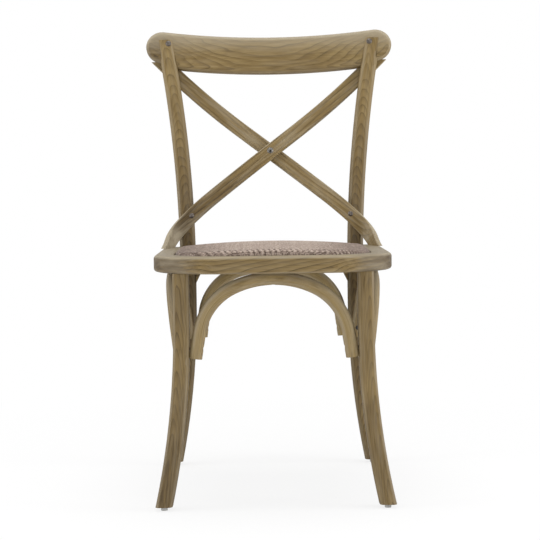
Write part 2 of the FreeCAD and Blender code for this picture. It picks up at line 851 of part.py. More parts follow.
def make_arch(name, span, rise, crown_angle, shoulder, tilt, place):
    """Round rod bent to an arch with straight leaning ends, swept along a tangent path."""
    crown, straight = arch_geometry(span, rise, crown_angle, shoulder, tilt)
    body = new_body(name)
    path = attach(body, "path", "XZ_Plane")
    first, last = math.radians(crown_angle), math.radians(90 - tilt)
    centre = Vector(0, rise - crown)
    turn = Vector(math.sin(first), math.cos(first)) * (crown - shoulder)
    right = centre + turn
    left = Vector(-right.x, right.y)
    foot = right + Vector(math.sin(last), math.cos(last)) * shoulder
    end = foot + Vector(math.cos(last), -math.sin(last)) * straight
    up = Vector(0, 0, 1)
    quarter = math.pi / 2
    path.addGeometry(Part.LineSegment(end, foot), False)
    circle = Part.Circle(right, up, shoulder)
    path.addGeometry(Part.ArcOfCircle(circle, quarter - last, quarter - first), False)
    circle = Part.Circle(centre, up, crown)
    path.addGeometry(Part.ArcOfCircle(circle, quarter - first, quarter + first), False)
    circle = Part.Circle(left, up, shoulder)
    path.addGeometry(Part.ArcOfCircle(circle, quarter + first, quarter + last), False)
    path.addGeometry(Part.LineSegment(Vector(-foot.x, foot.y), Vector(-end.x, end.y)), False)
    for edge in range(4):
        path.addConstraint(Sketcher.Constraint("Coincident", edge, 2, edge + 1, 1))
    section = body.newObject("Sketcher::SketchObject", "section")
    section.addGeometry(Part.Circle(Vector(0, 0), up, number("arch_diameter") / 2), False)
    constrain(section, Sketcher.Constraint("Diameter", 0, number("arch_diameter")), "rod", "arch_diameter")
    along = Vector(foot.x - end.x, 0, foot.y - end.y)
    section.Placement = aim((end.x, 0, end.y), along)
    pipe = body.newObject("PartDesign::AdditivePipe", "rod_sweep")
    pipe.Profile = section
    pipe.Spine = path
    doc.recompute()
    body.Placement = place
    doc.recompute()
    return body


def domed_screw(name, head, dome, shank, length):
    """Screw along -Z from its seat at the origin, with a low round head."""
    radius = (number(head) ** 2 / 4 + number(dome) ** 2) / (2 * number(dome))
    cap = doc.addObject("Part::Sphere", name + "_cap")
    cap.Radius = radius
    cap.Angle1 = math.degrees(math.asin((radius - number(dome)) / radius))
    cap.Placement.Base = Vector(0, 0, number(dome) - radius)
    stem = doc.addObject("Part::Cylinder", name + "_stem")
    bind(stem, Radius=f"( {shank} ) / 2", Height=length)
    stem.setExpression("Placement.Base.z", named(f"-( {length} )"))
    return fuse(name, [stem, cap])


def screw_seat(name, head, dome, shank, length):
    """Tool for the hole of a domed screw, which also beds the underside of its head."""
    wide = f"{shank} + 2 * fit_clearance"
    return domed_screw(name, head, dome, wide, f"{length} + fit_clearance")


def stepped_pin(name, head, thickness, shank, length):
    """Flat-headed screw or bolt: head up from the origin, stem along -Z."""
    cap = doc.addObject("Part::Cylinder", name + "_cap")
    bind(cap, Radius=f"( {head} ) / 2", Height=thickness)
    stem = doc.addObject("Part::Cylinder", name + "_stem")
    bind(stem, Radius=f"( {shank} ) / 2", Height=length)
    stem.setExpression("Placement.Base.z", named(f"-( {length} )"))
    return fuse(name, [stem, cap])


def bore(name, diameter, length):
    """Round hole tool along -Z from the origin, starting a little above it."""
    item = doc.addObject("Part::Cylinder", name)
    bind(item, Radius=f"( {diameter} ) / 2 + fit_clearance", Height=f"{length} + {MARGIN}")
    item.setExpression("Placement.Base.z", named(f"-( {length} )"))
    doc.recompute()
    return item


def copies(name, master, places):
    """One object with a copy of the master at each place."""
    items = []
    for index, place in enumerate(places, 1):
        items.append(placed(f"{name}_{index}", master.Shape, place))
    return group(name, items)


def sides(places):
    """The given +X placements and their mirror images."""
    both = []
    for point, direction in places:
        both.append(aim(point, direction))
        both.append(aim((-point[0], point[1], point[2]), (-direction[0], direction[1], direction[2])))
    return both


# Blanks
post_blank = make_post("post_blank", "0")
post_tool = make_post("post_tool", "fit_clearance")
posts = {"right": post_blank, "left": mirrored("post_blank_left", post_blank)}
post_tools = {"right": post_tool, "left": mirrored("post_tool_left", post_tool)}
leg_blank = make_front_leg("leg_blank")
legs = {"right": leg_blank, "left": mirrored("leg_blank_left", leg_blank)}
ring = make_ring()
crest_blank = make_crest()
strip_front = make_strip("strip_front", StripPath(True), 0)
strip_rear_right = make_strip("strip_rear_right", StripPath(False), 0)
strip_rear = mirrored("strip_rear", strip_rear_right)
CLEAR = number("fit_clearance")
strip_front_tool = make_strip("strip_front_tool", StripPath(True), CLEAR)
strip_rear_tool = mirrored("strip_rear_tool", make_strip("strip_rear_tool_right", StripPath(False), CLEAR))

# Arches between the legs, each crown let a little into the underside of the ring
ARCH_RADIUS = number("arch_diameter / 2")
ARCH_LOW = number("arch_end_height")
ARCH_SINK = number("arch_sink")
ARCH_CROWN = number(RING_LOW) - ARCH_RADIUS + ARCH_SINK
leg_x, leg_y = leg_centre(ARCH_LOW)
post_x, post_y = post_centre(ARCH_LOW)
LEG_HALF, POST_HALF = number("leg_size / 2"), number("post_size / 2")
front_span = leg_x - LEG_HALF - ARCH_RADIUS + ARCH_SINK
rear_span = post_x - POST_HALF - ARCH_RADIUS + ARCH_SINK
side_start = leg_y + LEG_HALF + ARCH_RADIUS - ARCH_SINK
side_end = post_y - POST_HALF - ARCH_RADIUS + ARCH_SINK
side_span = (side_end - side_start) / 2
side_low_x = (leg_x + post_x) / 2
side_rise = math.hypot(ARCH_CROWN - ARCH_LOW, number("side_arch_crown_reach") - side_low_x)
side_lean = math.degrees(math.atan2(number("side_arch_crown_reach") - side_low_x, ARCH_CROWN - ARCH_LOW))
rise = ARCH_CROWN - ARCH_LOW
FRONT_ARCH_Y, REAR_ARCH_Y = leg_y, post_y
front_arch_blank = make_arch(
    "front_arch_blank", front_span, rise, number("front_arch_crown"), number("front_arch_shoulder"),
    number("front_arch_tilt"), Placement(Vector(0, FRONT_ARCH_Y, ARCH_LOW), Rotation()),
)
rear_arch_blank = make_arch(
    "rear_arch_blank", rear_span, rise, number("rear_arch_crown"), number("rear_arch_shoulder"),
    number("rear_arch_tilt"), Placement(Vector(0, REAR_ARCH_Y, ARCH_LOW), Rotation()),
)
side_turn = Rotation(Vector(0, 1, 0), side_lean).multiply(Rotation(Vector(0, 0, 1), 90))
side_middle = Vector(side_low_x, (side_start + side_end) / 2, ARCH_LOW)
side_arch_blank = make_arch(
    "side_arch_blank", side_span, side_rise, number("side_arch_crown"), number("side_arch_shoulder"),
    number("side_arch_tilt"), Placement(side_middle, side_turn),
)
side_arches = {"right": side_arch_blank, "left": mirrored("side_arch_left_blank", side_arch_blank)}

# Screws, bolts and dowels
crest_height = number("crest_screw_rise")
screw_x = post_centre(number("crest_middle_height") + crest_height)[0] - number("crest_screw_inward")
crest_face = CREST.front - number("crest_setback")
crest_point = CREST.point(screw_x, crest_face, crest_height)
crest_places = sides([(tuple(crest_point), tuple(CREST.direction(0, -1, 0)))])
crest_screw = domed_screw(
    "crest_screw", "crest_screw_head", "crest_screw_dome", "crest_screw_shank", "crest_screw_length"
)

path = StripPath(True)
lean = math.radians(number("strip_screw_lean"))
strip_face_y = path.screw_y - number("strip_thickness / 2")
strip_point = (number("strip_screw_reach"), strip_face_y, number("strip_screw_height"))
strip_places = sides([(strip_point, (-math.sin(lean), -math.cos(lean), 0))])
strip_screw = domed_screw(
    "strip_screw", "strip_screw_head", "strip_screw_dome", "strip_screw_shank", "strip_screw_length"
)

back_tilt = math.atan(path.top_slope)
back_direction = (0, math.cos(back_tilt), -math.sin(back_tilt))
back_point = Vector(path.seat_x, path.seat_y, number("strip_seat_height"))
back_point += Vector(*back_direction) * number("strip_thickness / 2")
back_places = sides([(tuple(back_point), back_direction)])
back_screw = domed_screw(
    "back_screw", "back_screw_head", "back_screw_dome", "back_screw_shank", "back_screw_length"
)

cross_tilt = math.atan(path.slope)
cross_out = Vector(0, -math.cos(cross_tilt), math.sin(cross_tilt))
cross_point = Vector(0, path.cross_y, number("cross_height"))
cross_point += cross_out * number("strip_thickness + 3 * fit_clearance")
cross_place = aim(tuple(cross_point), tuple(cross_out))
grip = "2 * strip_thickness + 6 * fit_clearance"
bolt_length = f"( {grip} + nut_thickness )"
cross_head = domed_screw("cross_head", "bolt_head", "bolt_dome", "bolt_shank", bolt_length)
socket = doc.addObject("Part::Prism", "socket")
bind(socket, Circumradius="bolt_socket / 2", Height=f"bolt_socket_depth + {MARGIN}")
socket.setExpression("Placement.Base.z", named("bolt_dome - bolt_socket_depth"))
bolt_master = cut("bolt_master", cross_head, [socket])
nut_block = doc.addObject("Part::Prism", "nut_block")
bind(nut_block, Circumradius="nut_size / 2", Height="nut_thickness")
nut_block.setExpression("Placement.Base.z", named(f"-( {grip} ) - nut_thickness"))
nut_bore = bore("nut_bore", "bolt_shank", f"{grip} + nut_thickness + {MARGIN}")
nut_master = cut("nut_master", nut_block, [nut_bore])

arch_screw = stepped_pin(
    "arch_screw", "arch_screw_head", "arch_screw_head_thickness", "arch_screw_shank", "arch_screw_length"
)
arch_pocket = stepped_pin(
    "arch_pocket",
    "arch_screw_head + 2 * fit_clearance",
    "arch_diameter",
    "arch_screw_shank + 2 * fit_clearance",
    "arch_screw_length + fit_clearance",
)


def arch_screw_places():
    """Seats of the screws near the eight arch ends, each head sunk in the rod's inner side."""
    up = number("arch_screw_rise")
    seat = ARCH_RADIUS - number("arch_screw_recess + arch_screw_head_thickness")
    front_in = up * math.tan(math.radians(number("front_arch_tilt")))
    rear_in = up * math.tan(math.radians(number("rear_arch_tilt")))
    side_in = up * math.tan(math.radians(number("side_arch_tilt")))
    side_x = side_low_x + up * math.tan(math.radians(side_lean))
    height = ARCH_LOW + up
    return sides([
        ((front_span - front_in - seat, FRONT_ARCH_Y, height), (-1, 0, 0)),
        ((rear_span - rear_in - seat, REAR_ARCH_Y, height), (-1, 0, 0)),
        ((side_x, side_start + side_in + seat, height), (0, 1, 0)),
        ((side_x, side_end - side_in - seat, height), (0, -1, 0)),
    ])


def crown_screw_places():
    """Seats of the upright screws through the four arch crowns."""
    seat = ARCH_CROWN - ARCH_RADIUS + number("arch_screw_recess + arch_screw_head_thickness")
    middle = (side_start + side_end) / 2
    reach = number("side_arch_crown_reach")
    spots = [(0, FRONT_ARCH_Y), (0, REAR_ARCH_Y), (reach, middle), (-reach, middle)]
    return [aim((x, y, seat), (0, 0, -1)) for x, y in spots]


crown_screw = stepped_pin(
    "crown_screw", "arch_screw_head", "arch_screw_head_thickness", "arch_screw_shank", "crown_screw_length"
)
crown_pocket = stepped_pin(
    "crown_pocket",
    "arch_screw_head + 2 * fit_clearance",
    "arch_diameter",
    "arch_screw_shank + 2 * fit_clearance",
    "crown_screw_length + fit_clearance",
)

bolt_height = number("seat_height - frame_bolt_below")
bolt_x = post_centre(bolt_height)[0]
bolt_seat = number(POST_Y) + POST_HALF - number("frame_bolt_head_thickness")
frame_bolt_places = sides([((bolt_x, bolt_seat, bolt_height), (0, 1, 0))])
frame_bolt = stepped_pin(
    "frame_bolt", "frame_bolt_head", "frame_bolt_head_thickness", "frame_bolt_shank", "frame_bolt_length"
)
frame_bolt_hole = stepped_pin(
    "frame_bolt_hole",
    "frame_bolt_head + 2 * fit_clearance",
    "post_size",
    "frame_bolt_shank + 2 * fit_clearance",
    "frame_bolt_length + fit_clearance",
)
barrel_y = bolt_seat - number("frame_bolt_length - barrel_diameter / 2") + MARGIN
barrel_top = bolt_height + number("barrel_length / 2")
barrel_places = sides([((bolt_x, barrel_y, barrel_top), (0, 0, 1))])
barrel = bore("barrel", "barrel_diameter - 2 * fit_clearance", f"barrel_length - {MARGIN}")
barrel_hole = bore("barrel_hole", "barrel_diameter", "barrel_length + ring_thickness")

board_screw = stepped_pin(
    "board_screw",
    "board_screw_head",
    "board_screw_head_thickness",
    "board_screw_shank",
    "board_screw_length",
)
board_screw_hole = stepped_pin(
    "board_screw_hole",
    "board_screw_head + 2 * fit_clearance",
    f"board_screw_head_thickness + {MARGIN}",
    "board_screw_shank + 2 * fit_clearance",
    "board_screw_length + fit_clearance",
)
screw_inset = number("rail_width + ledge_width / 2 + panel_gap + weave_thickness")
board_seat = number(f"{RING_LOW} + board_screw_head_thickness")
board_screw_places = sides([
    ((number("board_screw_front_reach"), screw_inset - number("seat_front"), board_seat), (0, 0, -1)),
    (
        (number("board_screw_front_reach"), number("seat_depth - seat_front") - screw_inset, board_seat),
        (0, 0, -1),
    ),
])

foot_y = path.screw_y - number("strip_foot_forward")
dowel_top = number("seat_height + dowel_in_strip")
dowel_places = sides([((number("strip_foot_reach"), foot_y, dowel_top), (0, 0, 1))])
dowel = bore("dowel", "dowel_diameter - 2 * fit_clearance", f"dowel_in_ring + dowel_in_strip - {MARGIN}")
dowel_hole = bore("dowel_hole", "dowel_diameter", "dowel_in_ring + dowel_in_strip")


def glide_places():
    """Middles of the four feet."""
    low = number("glide_height")
    front, back = leg_centre(low), post_centre(low)
    return sides([((*front, 0), (0, 0, 1)), ((*back, 0), (0, 0, 1))])


glide_pad = doc.addObject("Part::Cylinder", "glide_pad")
bind(glide_pad, Radius="glide_diameter / 2", Height="glide_height")
glide_nail = doc.addObject("Part::Cylinder", "glide_nail")
bind(glide_nail, Radius="glide_shank / 2", Height="glide_height + glide_shank_length")
glide = fuse("glide", [glide_pad, glide_nail])
glide_hole = doc.addObject("Part::Cylinder", "glide_hole")
glide_reach = f"glide_height + glide_shank_length + {MARGIN}"
bind(glide_hole, Radius="glide_shank / 2 + fit_clearance", Height=glide_reach)

# Hardware nodes and the holes that they need
hardware = {
    "crest_screws": copies("crest_screws", crest_screw, crest_places),
    "strip_lower_screws": copies("strip_lower_screws", strip_screw, strip_places),
    "strip_upper_screws": copies("strip_upper_screws", back_screw, back_places),
    "cross_bolt": copies("cross_bolt", bolt_master, [cross_place]),
    "cross_nut": copies("cross_nut", nut_master, [cross_place]),
    "arch_end_screws": copies("arch_end_screws", arch_screw, arch_screw_places()),
    "arch_crown_screws": copies("arch_crown_screws", crown_screw, crown_screw_places()),
    "rear_leg_bolts": copies("rear_leg_bolts", frame_bolt, frame_bolt_places),
    "seat_board_screws": copies("seat_board_screws", board_screw, board_screw_places),
    "strip_foot_dowels": copies("strip_foot_dowels", dowel, dowel_places),
    "foot_glides": copies("foot_glides", glide, glide_places()),
}
crest_seat = screw_seat(
    "crest_seat", "crest_screw_head", "crest_screw_dome", "crest_screw_shank", "crest_screw_length"
)
strip_seat = screw_seat(
    "strip_seat", "strip_screw_head", "strip_screw_dome", "strip_screw_shank", "strip_screw_length"
)
back_seat = screw_seat(
    "back_seat", "back_screw_head", "back_screw_dome", "back_screw_shank", "back_screw_length"
)
crest_holes = copies("crest_holes", crest_seat, crest_places)
strip_holes = copies("strip_holes", strip_seat, strip_places)
back_holes = copies("back_holes", back_seat, back_places)
cross_hole = copies("cross_hole", bore("cross_bore", "bolt_shank", f"{grip} + {MARGIN}"), [cross_place])
arch_holes = copies("arch_holes", arch_pocket, arch_screw_places())
crown_holes = copies("crown_holes", crown_pocket, crown_screw_places())
frame_holes = copies("frame_holes", frame_bolt_hole, frame_bolt_places)
barrel_holes = copies("barrel_holes", barrel_hole, barrel_places)
board_holes = copies("board_holes", board_screw_hole, board_screw_places)
dowel_holes = copies("dowel_holes", dowel_hole, dowel_places)
glide_holes = copies("glide_holes", glide_hole, glide_places())
barrels = copies("rear_leg_barrels", barrel, barrel_places)

# Crest with the housings for the two posts
housing_slab = doc.addObject("Part::Cylinder", "housing_slab")
bind(housing_slab, Radius="crest_bow_radius + crest_housing", Height="4 * crest_below")
slab_low = Vector(0, CREST.bow_centre, -2 * number("crest_below"))
housing_slab.Placement = CREST.place.multiply(Placement(slab_low, Rotation()))
doc.recompute()
housings = [common(f"crest_housing_{side}", post_tools[side], housing_slab) for side in ("left", "right")]
nodes = dict(hardware)
nodes["rear_leg_nuts"] = cut("rear_leg_nuts", barrels, [frame_holes])
crest_relief = [strip_front_tool, strip_rear_tool, back_holes]
crest_cut = cut("crest_cut", crest_blank, housings + [crest_holes])
nodes["crest_rail"] = cut("crest_rail", crest_cut, [fuse("crest_relief", crest_relief)])

# Strips, with the foot of each cut flat on the seat ring
strip_tools = [strip_holes, back_holes, cross_hole, dowel_holes]
nodes["cross_strip_front"] = cut("cross_strip_front", strip_front, strip_tools)
nodes["cross_strip_rear"] = cut("cross_strip_rear", strip_rear, strip_tools)

# Posts and legs
for side in ("left", "right"):
    lap = common(f"post_lap_{side}", posts[side], nodes["crest_rail"])
    tools = [lap, strip_front_tool, strip_rear_tool]
    tools += [crest_holes, strip_holes, back_holes, arch_holes, frame_holes, glide_holes]
    nodes[f"rear_leg_{side}"] = cut(f"rear_leg_{side}", posts[side], tools)
    nodes[f"front_leg_{side}"] = cut(f"front_leg_{side}", legs[side], [arch_holes, glide_holes])

# Seat ring in four glued pieces
front_tool = rail_tool(
    "front_rail_tool",
    "front_joint_reach",
    f"- seat_front - {MARGIN}",
    f"rail_width + ledge_width - seat_front + {MARGIN}",
    "tongue_inset - seat_front",
    "tongue_inset + tongue_width - seat_front",
)
back_tool = rail_tool(
    "back_rail_tool",
    "back_joint_reach",
    f"seat_depth - seat_front - rail_width - ledge_width - {MARGIN}",
    f"seat_depth - seat_front + {MARGIN}",
    "seat_depth - seat_front - tongue_inset - tongue_width",
    "seat_depth - seat_front - tongue_inset",
)
mortise = doc.addObject("Part::Cylinder", "mortise")
mortise_depth = f"tenon_length + fit_clearance + {MARGIN}"
bind(mortise, Radius="tenon_diameter / 2 + fit_clearance", Height=mortise_depth)
for axis, expression in zip("xyz", ("leg_reach", LEG_Y, f"{RING_LOW} - {MARGIN}")):
    mortise.setExpression("Placement.Base." + axis, named(expression))
mortises = {"right": mortise, "left": mirrored("mortise_left", mortise)}
rail_holes = [crown_holes, board_holes]
nodes["seat_rail_front"] = cut("seat_rail_front", common("front_rail_blank", ring, front_tool), rail_holes)
nodes["seat_rail_back"] = cut("seat_rail_back", common("back_rail_blank", ring, back_tool), rail_holes)
side_blank = cut("side_rails_blank", ring, [fuse("straight_rails", [front_tool, back_tool])])
for side, low, high in (("left", "- seat_width", "0"), ("right", "0", "seat_width")):
    half = box(f"half_{side}", (low, "- seat_depth", "0"), (high, "seat_depth", f"seat_height + {MARGIN}"))
    blank = common(f"side_rail_blank_{side}", side_blank, half)
    tools = [post_tools[side], mortises[side], crown_holes, frame_holes, barrel_holes, dowel_holes]
    nodes[f"seat_rail_{side}"] = cut(f"seat_rail_{side}", blank, tools)

# Seat panel: board, crowned pad and woven skin
rebate_floor = "seat_height - rebate_depth"
board_inset = "rail_width + panel_gap + weave_thickness"
board_rear = "rebate_rear_radius - panel_gap - weave_thickness"
board_body = new_body("board_blank")
board_outline = panel_outline(board_body, "board_outline", rebate_floor, board_inset, board_rear)
pad(board_body, "board", board_outline, "board_thickness")
nodes["seat_board"] = cut("seat_board", board_body, [board_holes])
nodes["seat_pad"] = make_crown(
    "seat_pad",
    f"{rebate_floor} + board_thickness",
    board_inset,
    board_rear,
    "weave_thickness",
    "crown_edge_round - weave_thickness",
)
weave_blank = make_crown(
    "weave",
    rebate_floor,
    "rail_width + panel_gap",
    "rebate_rear_radius - panel_gap",
    "0",
    "crown_edge_round",
)
nodes["seat_weave"] = cut("seat_weave", weave_blank, [board_body, nodes["seat_pad"]])

# Arches trimmed by the legs and the ring that they bear on
front_arch_tools = [legs["left"], legs["right"], ring, arch_holes, crown_holes]
rear_arch_tools = [posts["left"], posts["right"], ring, arch_holes, crown_holes]
nodes["front_arch"] = cut("front_arch", front_arch_blank, front_arch_tools)
nodes["rear_arch"] = cut("rear_arch", rear_arch_blank, rear_arch_tools)
for side in ("left", "right"):
    tools = [legs[side], posts[side], ring, arch_holes, crown_holes]
    nodes[f"side_arch_{side}"] = cut(f"side_arch_{side}", side_arches[side], tools)

# Corner blocks in the angle between the rear legs and the back rail
block = new_body("block_blank")
block_sketch = attach(block, "block_outline", "XZ_Plane", f"-( {POST_Y} + block_depth / 2 )")
inner_face = number("post_reach - post_size / 2")
under = number(RING_LOW)
wide, tall = number("block_width"), number("block_height")
draw_polygon(block_sketch, [(inner_face, under), (inner_face - wide, under), (inner_face, under - tall)])
pad(block, "block", block_sketch, "block_depth")
nodes["rear_corner_block_right"] = cut("rear_corner_block_right", block, [post_blank, rear_arch_blank])
nodes["rear_corner_block_left"] = mirrored("rear_corner_block_left", nodes["rear_corner_block_right"])


def check_and_write():
    """Stop at any failed object, then write each piece to its own file."""
    for item in doc.Objects:
        if "Invalid" in item.State or "Error" in item.State:
            raise RuntimeError(f"{item.Name} failed: {item.State}")
    os.makedirs("parts", exist_ok=True)
    for label, item in nodes.items():
        shape = item.Shape
        if shape.isNull() or not shape.isValid() or not shape.Solids:
            raise RuntimeError(f"{label} has no valid solid")
        item.Label = label
        shape.exportStep(f"parts/{label}.step")


doc.recompute()
check_and_write()
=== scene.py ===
"""Looks of a cross back chair: weathered bent wood, a woven rattan seat and steel screws.

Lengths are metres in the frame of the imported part: X runs to the right seen from the
front, Y from the front to the back and Z up.
"""

from __future__ import annotations

import logging
import math
from dataclasses import dataclass
from enum import Enum

import bpy
import numpy as np
from mathutils import Matrix, Vector

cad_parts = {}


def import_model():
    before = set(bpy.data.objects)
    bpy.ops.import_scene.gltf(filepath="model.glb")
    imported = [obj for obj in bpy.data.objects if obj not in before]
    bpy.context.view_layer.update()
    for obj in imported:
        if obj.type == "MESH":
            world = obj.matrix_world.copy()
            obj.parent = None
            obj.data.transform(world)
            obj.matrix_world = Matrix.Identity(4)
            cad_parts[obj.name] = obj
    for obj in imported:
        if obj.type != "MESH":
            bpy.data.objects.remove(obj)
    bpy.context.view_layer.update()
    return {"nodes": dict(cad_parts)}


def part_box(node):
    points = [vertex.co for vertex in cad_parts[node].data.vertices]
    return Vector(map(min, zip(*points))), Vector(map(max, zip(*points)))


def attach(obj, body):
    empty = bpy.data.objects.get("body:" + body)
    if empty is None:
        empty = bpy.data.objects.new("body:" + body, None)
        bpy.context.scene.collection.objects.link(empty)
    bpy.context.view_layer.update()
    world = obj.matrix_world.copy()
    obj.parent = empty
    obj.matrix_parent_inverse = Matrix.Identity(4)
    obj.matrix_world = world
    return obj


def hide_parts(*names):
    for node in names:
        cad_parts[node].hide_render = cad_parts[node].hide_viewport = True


LOG = logging.getLogger("chair")

Triple = tuple[float, float, float]
Colour = Triple

SRGB_KNEE = 0.04045
SRGB_SLOPE = 12.92
SRGB_SHIFT = 0.055
SRGB_POWER = 2.4


def hex_colour(code: str) -> Colour:
    """Turn an sRGB hex code into the linear colour that shaders use.

    Args:
        code: six hex digits.

    Returns:
        Linear red, green and blue.
    """
    parts = [int(code[i : i + 2], 16) / 255 for i in (0, 2, 4)]
    return tuple(
        p / SRGB_SLOPE if p <= SRGB_KNEE else ((p + SRGB_SHIFT) / (1 + SRGB_SHIFT)) ** SRGB_POWER
        for p in parts
    )


class Signal:
    """A number or vector on a socket, with the arithmetic that adds Math nodes."""

    def __init__(self, paint: Paint, socket: bpy.types.NodeSocket) -> None:
        """Wrap one output socket of the material that paint builds."""
        self.paint = paint
        self.socket = socket

    def _math(self, operation: str, *values: Signal | float) -> Signal:
        """Add one Math node on this signal and the values."""
        inputs = dict(enumerate((self, *values)))
        return self.paint.node("ShaderNodeMath", {"operation": operation}, inputs)

    def __add__(self, other: Signal | float) -> Signal:
        """Sum."""
        return self._math("ADD", other)

    __radd__ = __add__

    def __sub__(self, other: Signal | float) -> Signal:
        """Difference."""
        return self._math("SUBTRACT", other)

    def __rsub__(self, other: float) -> Signal:
        """Difference with a plain number first."""
        return self.paint.node("ShaderNodeMath", {"operation": "SUBTRACT"}, {0: other, 1: self})

    def __mul__(self, other: Signal | float) -> Signal:
        """Product."""
        return self._math("MULTIPLY", other)

    def __truediv__(self, other: Signal | float) -> Signal:
        """Quotient."""
        return self._math("DIVIDE", other)

    def __pow__(self, other: float) -> Signal:
        """Power."""
        return self._math("POWER", other)

    def sqrt(self) -> Signal:
        """Square root."""
        return self._math("SQRT")

    def fract(self) -> Signal:
        """Part after the decimal point."""
        return self._math("FRACT")

    def absolute(self) -> Signal:
        """Absolute value."""
        return self._math("ABSOLUTE")

    def hypotenuse(self, other: Signal) -> Signal:
        """Root of the sum of the two squares."""
        return (self * self + other * other).sqrt()

    def at_least(self, other: Signal | float) -> Signal:
        """Larger of the two."""
        return self._math("MAXIMUM", other)

    def at_most(self, other: Signal | float) -> Signal:
        """Smaller of the two."""
        return self._math("MINIMUM", other)

    def ramp(self, low: float, high: float, start: float = 0.0, end: float = 1.0) -> Signal:
        """Go smoothly from start to end as the signal goes from low to high.

        Args:
            low: value where the ramp begins.
            high: value where it ends.
            start: result up to low.
            end: result from high on.

        Returns:
            The ramped signal.
        """
        settings = {"interpolation_type": "SMOOTHSTEP"}
        values = {"Value": self, "From Min": low, "From Max": high, "To Min": start, "To Max": end}
        return self.paint.node("ShaderNodeMapRange", settings, values)

    def pulse(self, rise: tuple[float, float], drop: tuple[float, float]) -> Signal:
        """Go from 0 to 1 over one range of values and back to 0 over a second one."""
        return self.ramp(*rise) * self.ramp(*drop, 1.0, 0.0)


Coordinates = tuple[Signal, Signal, Signal]


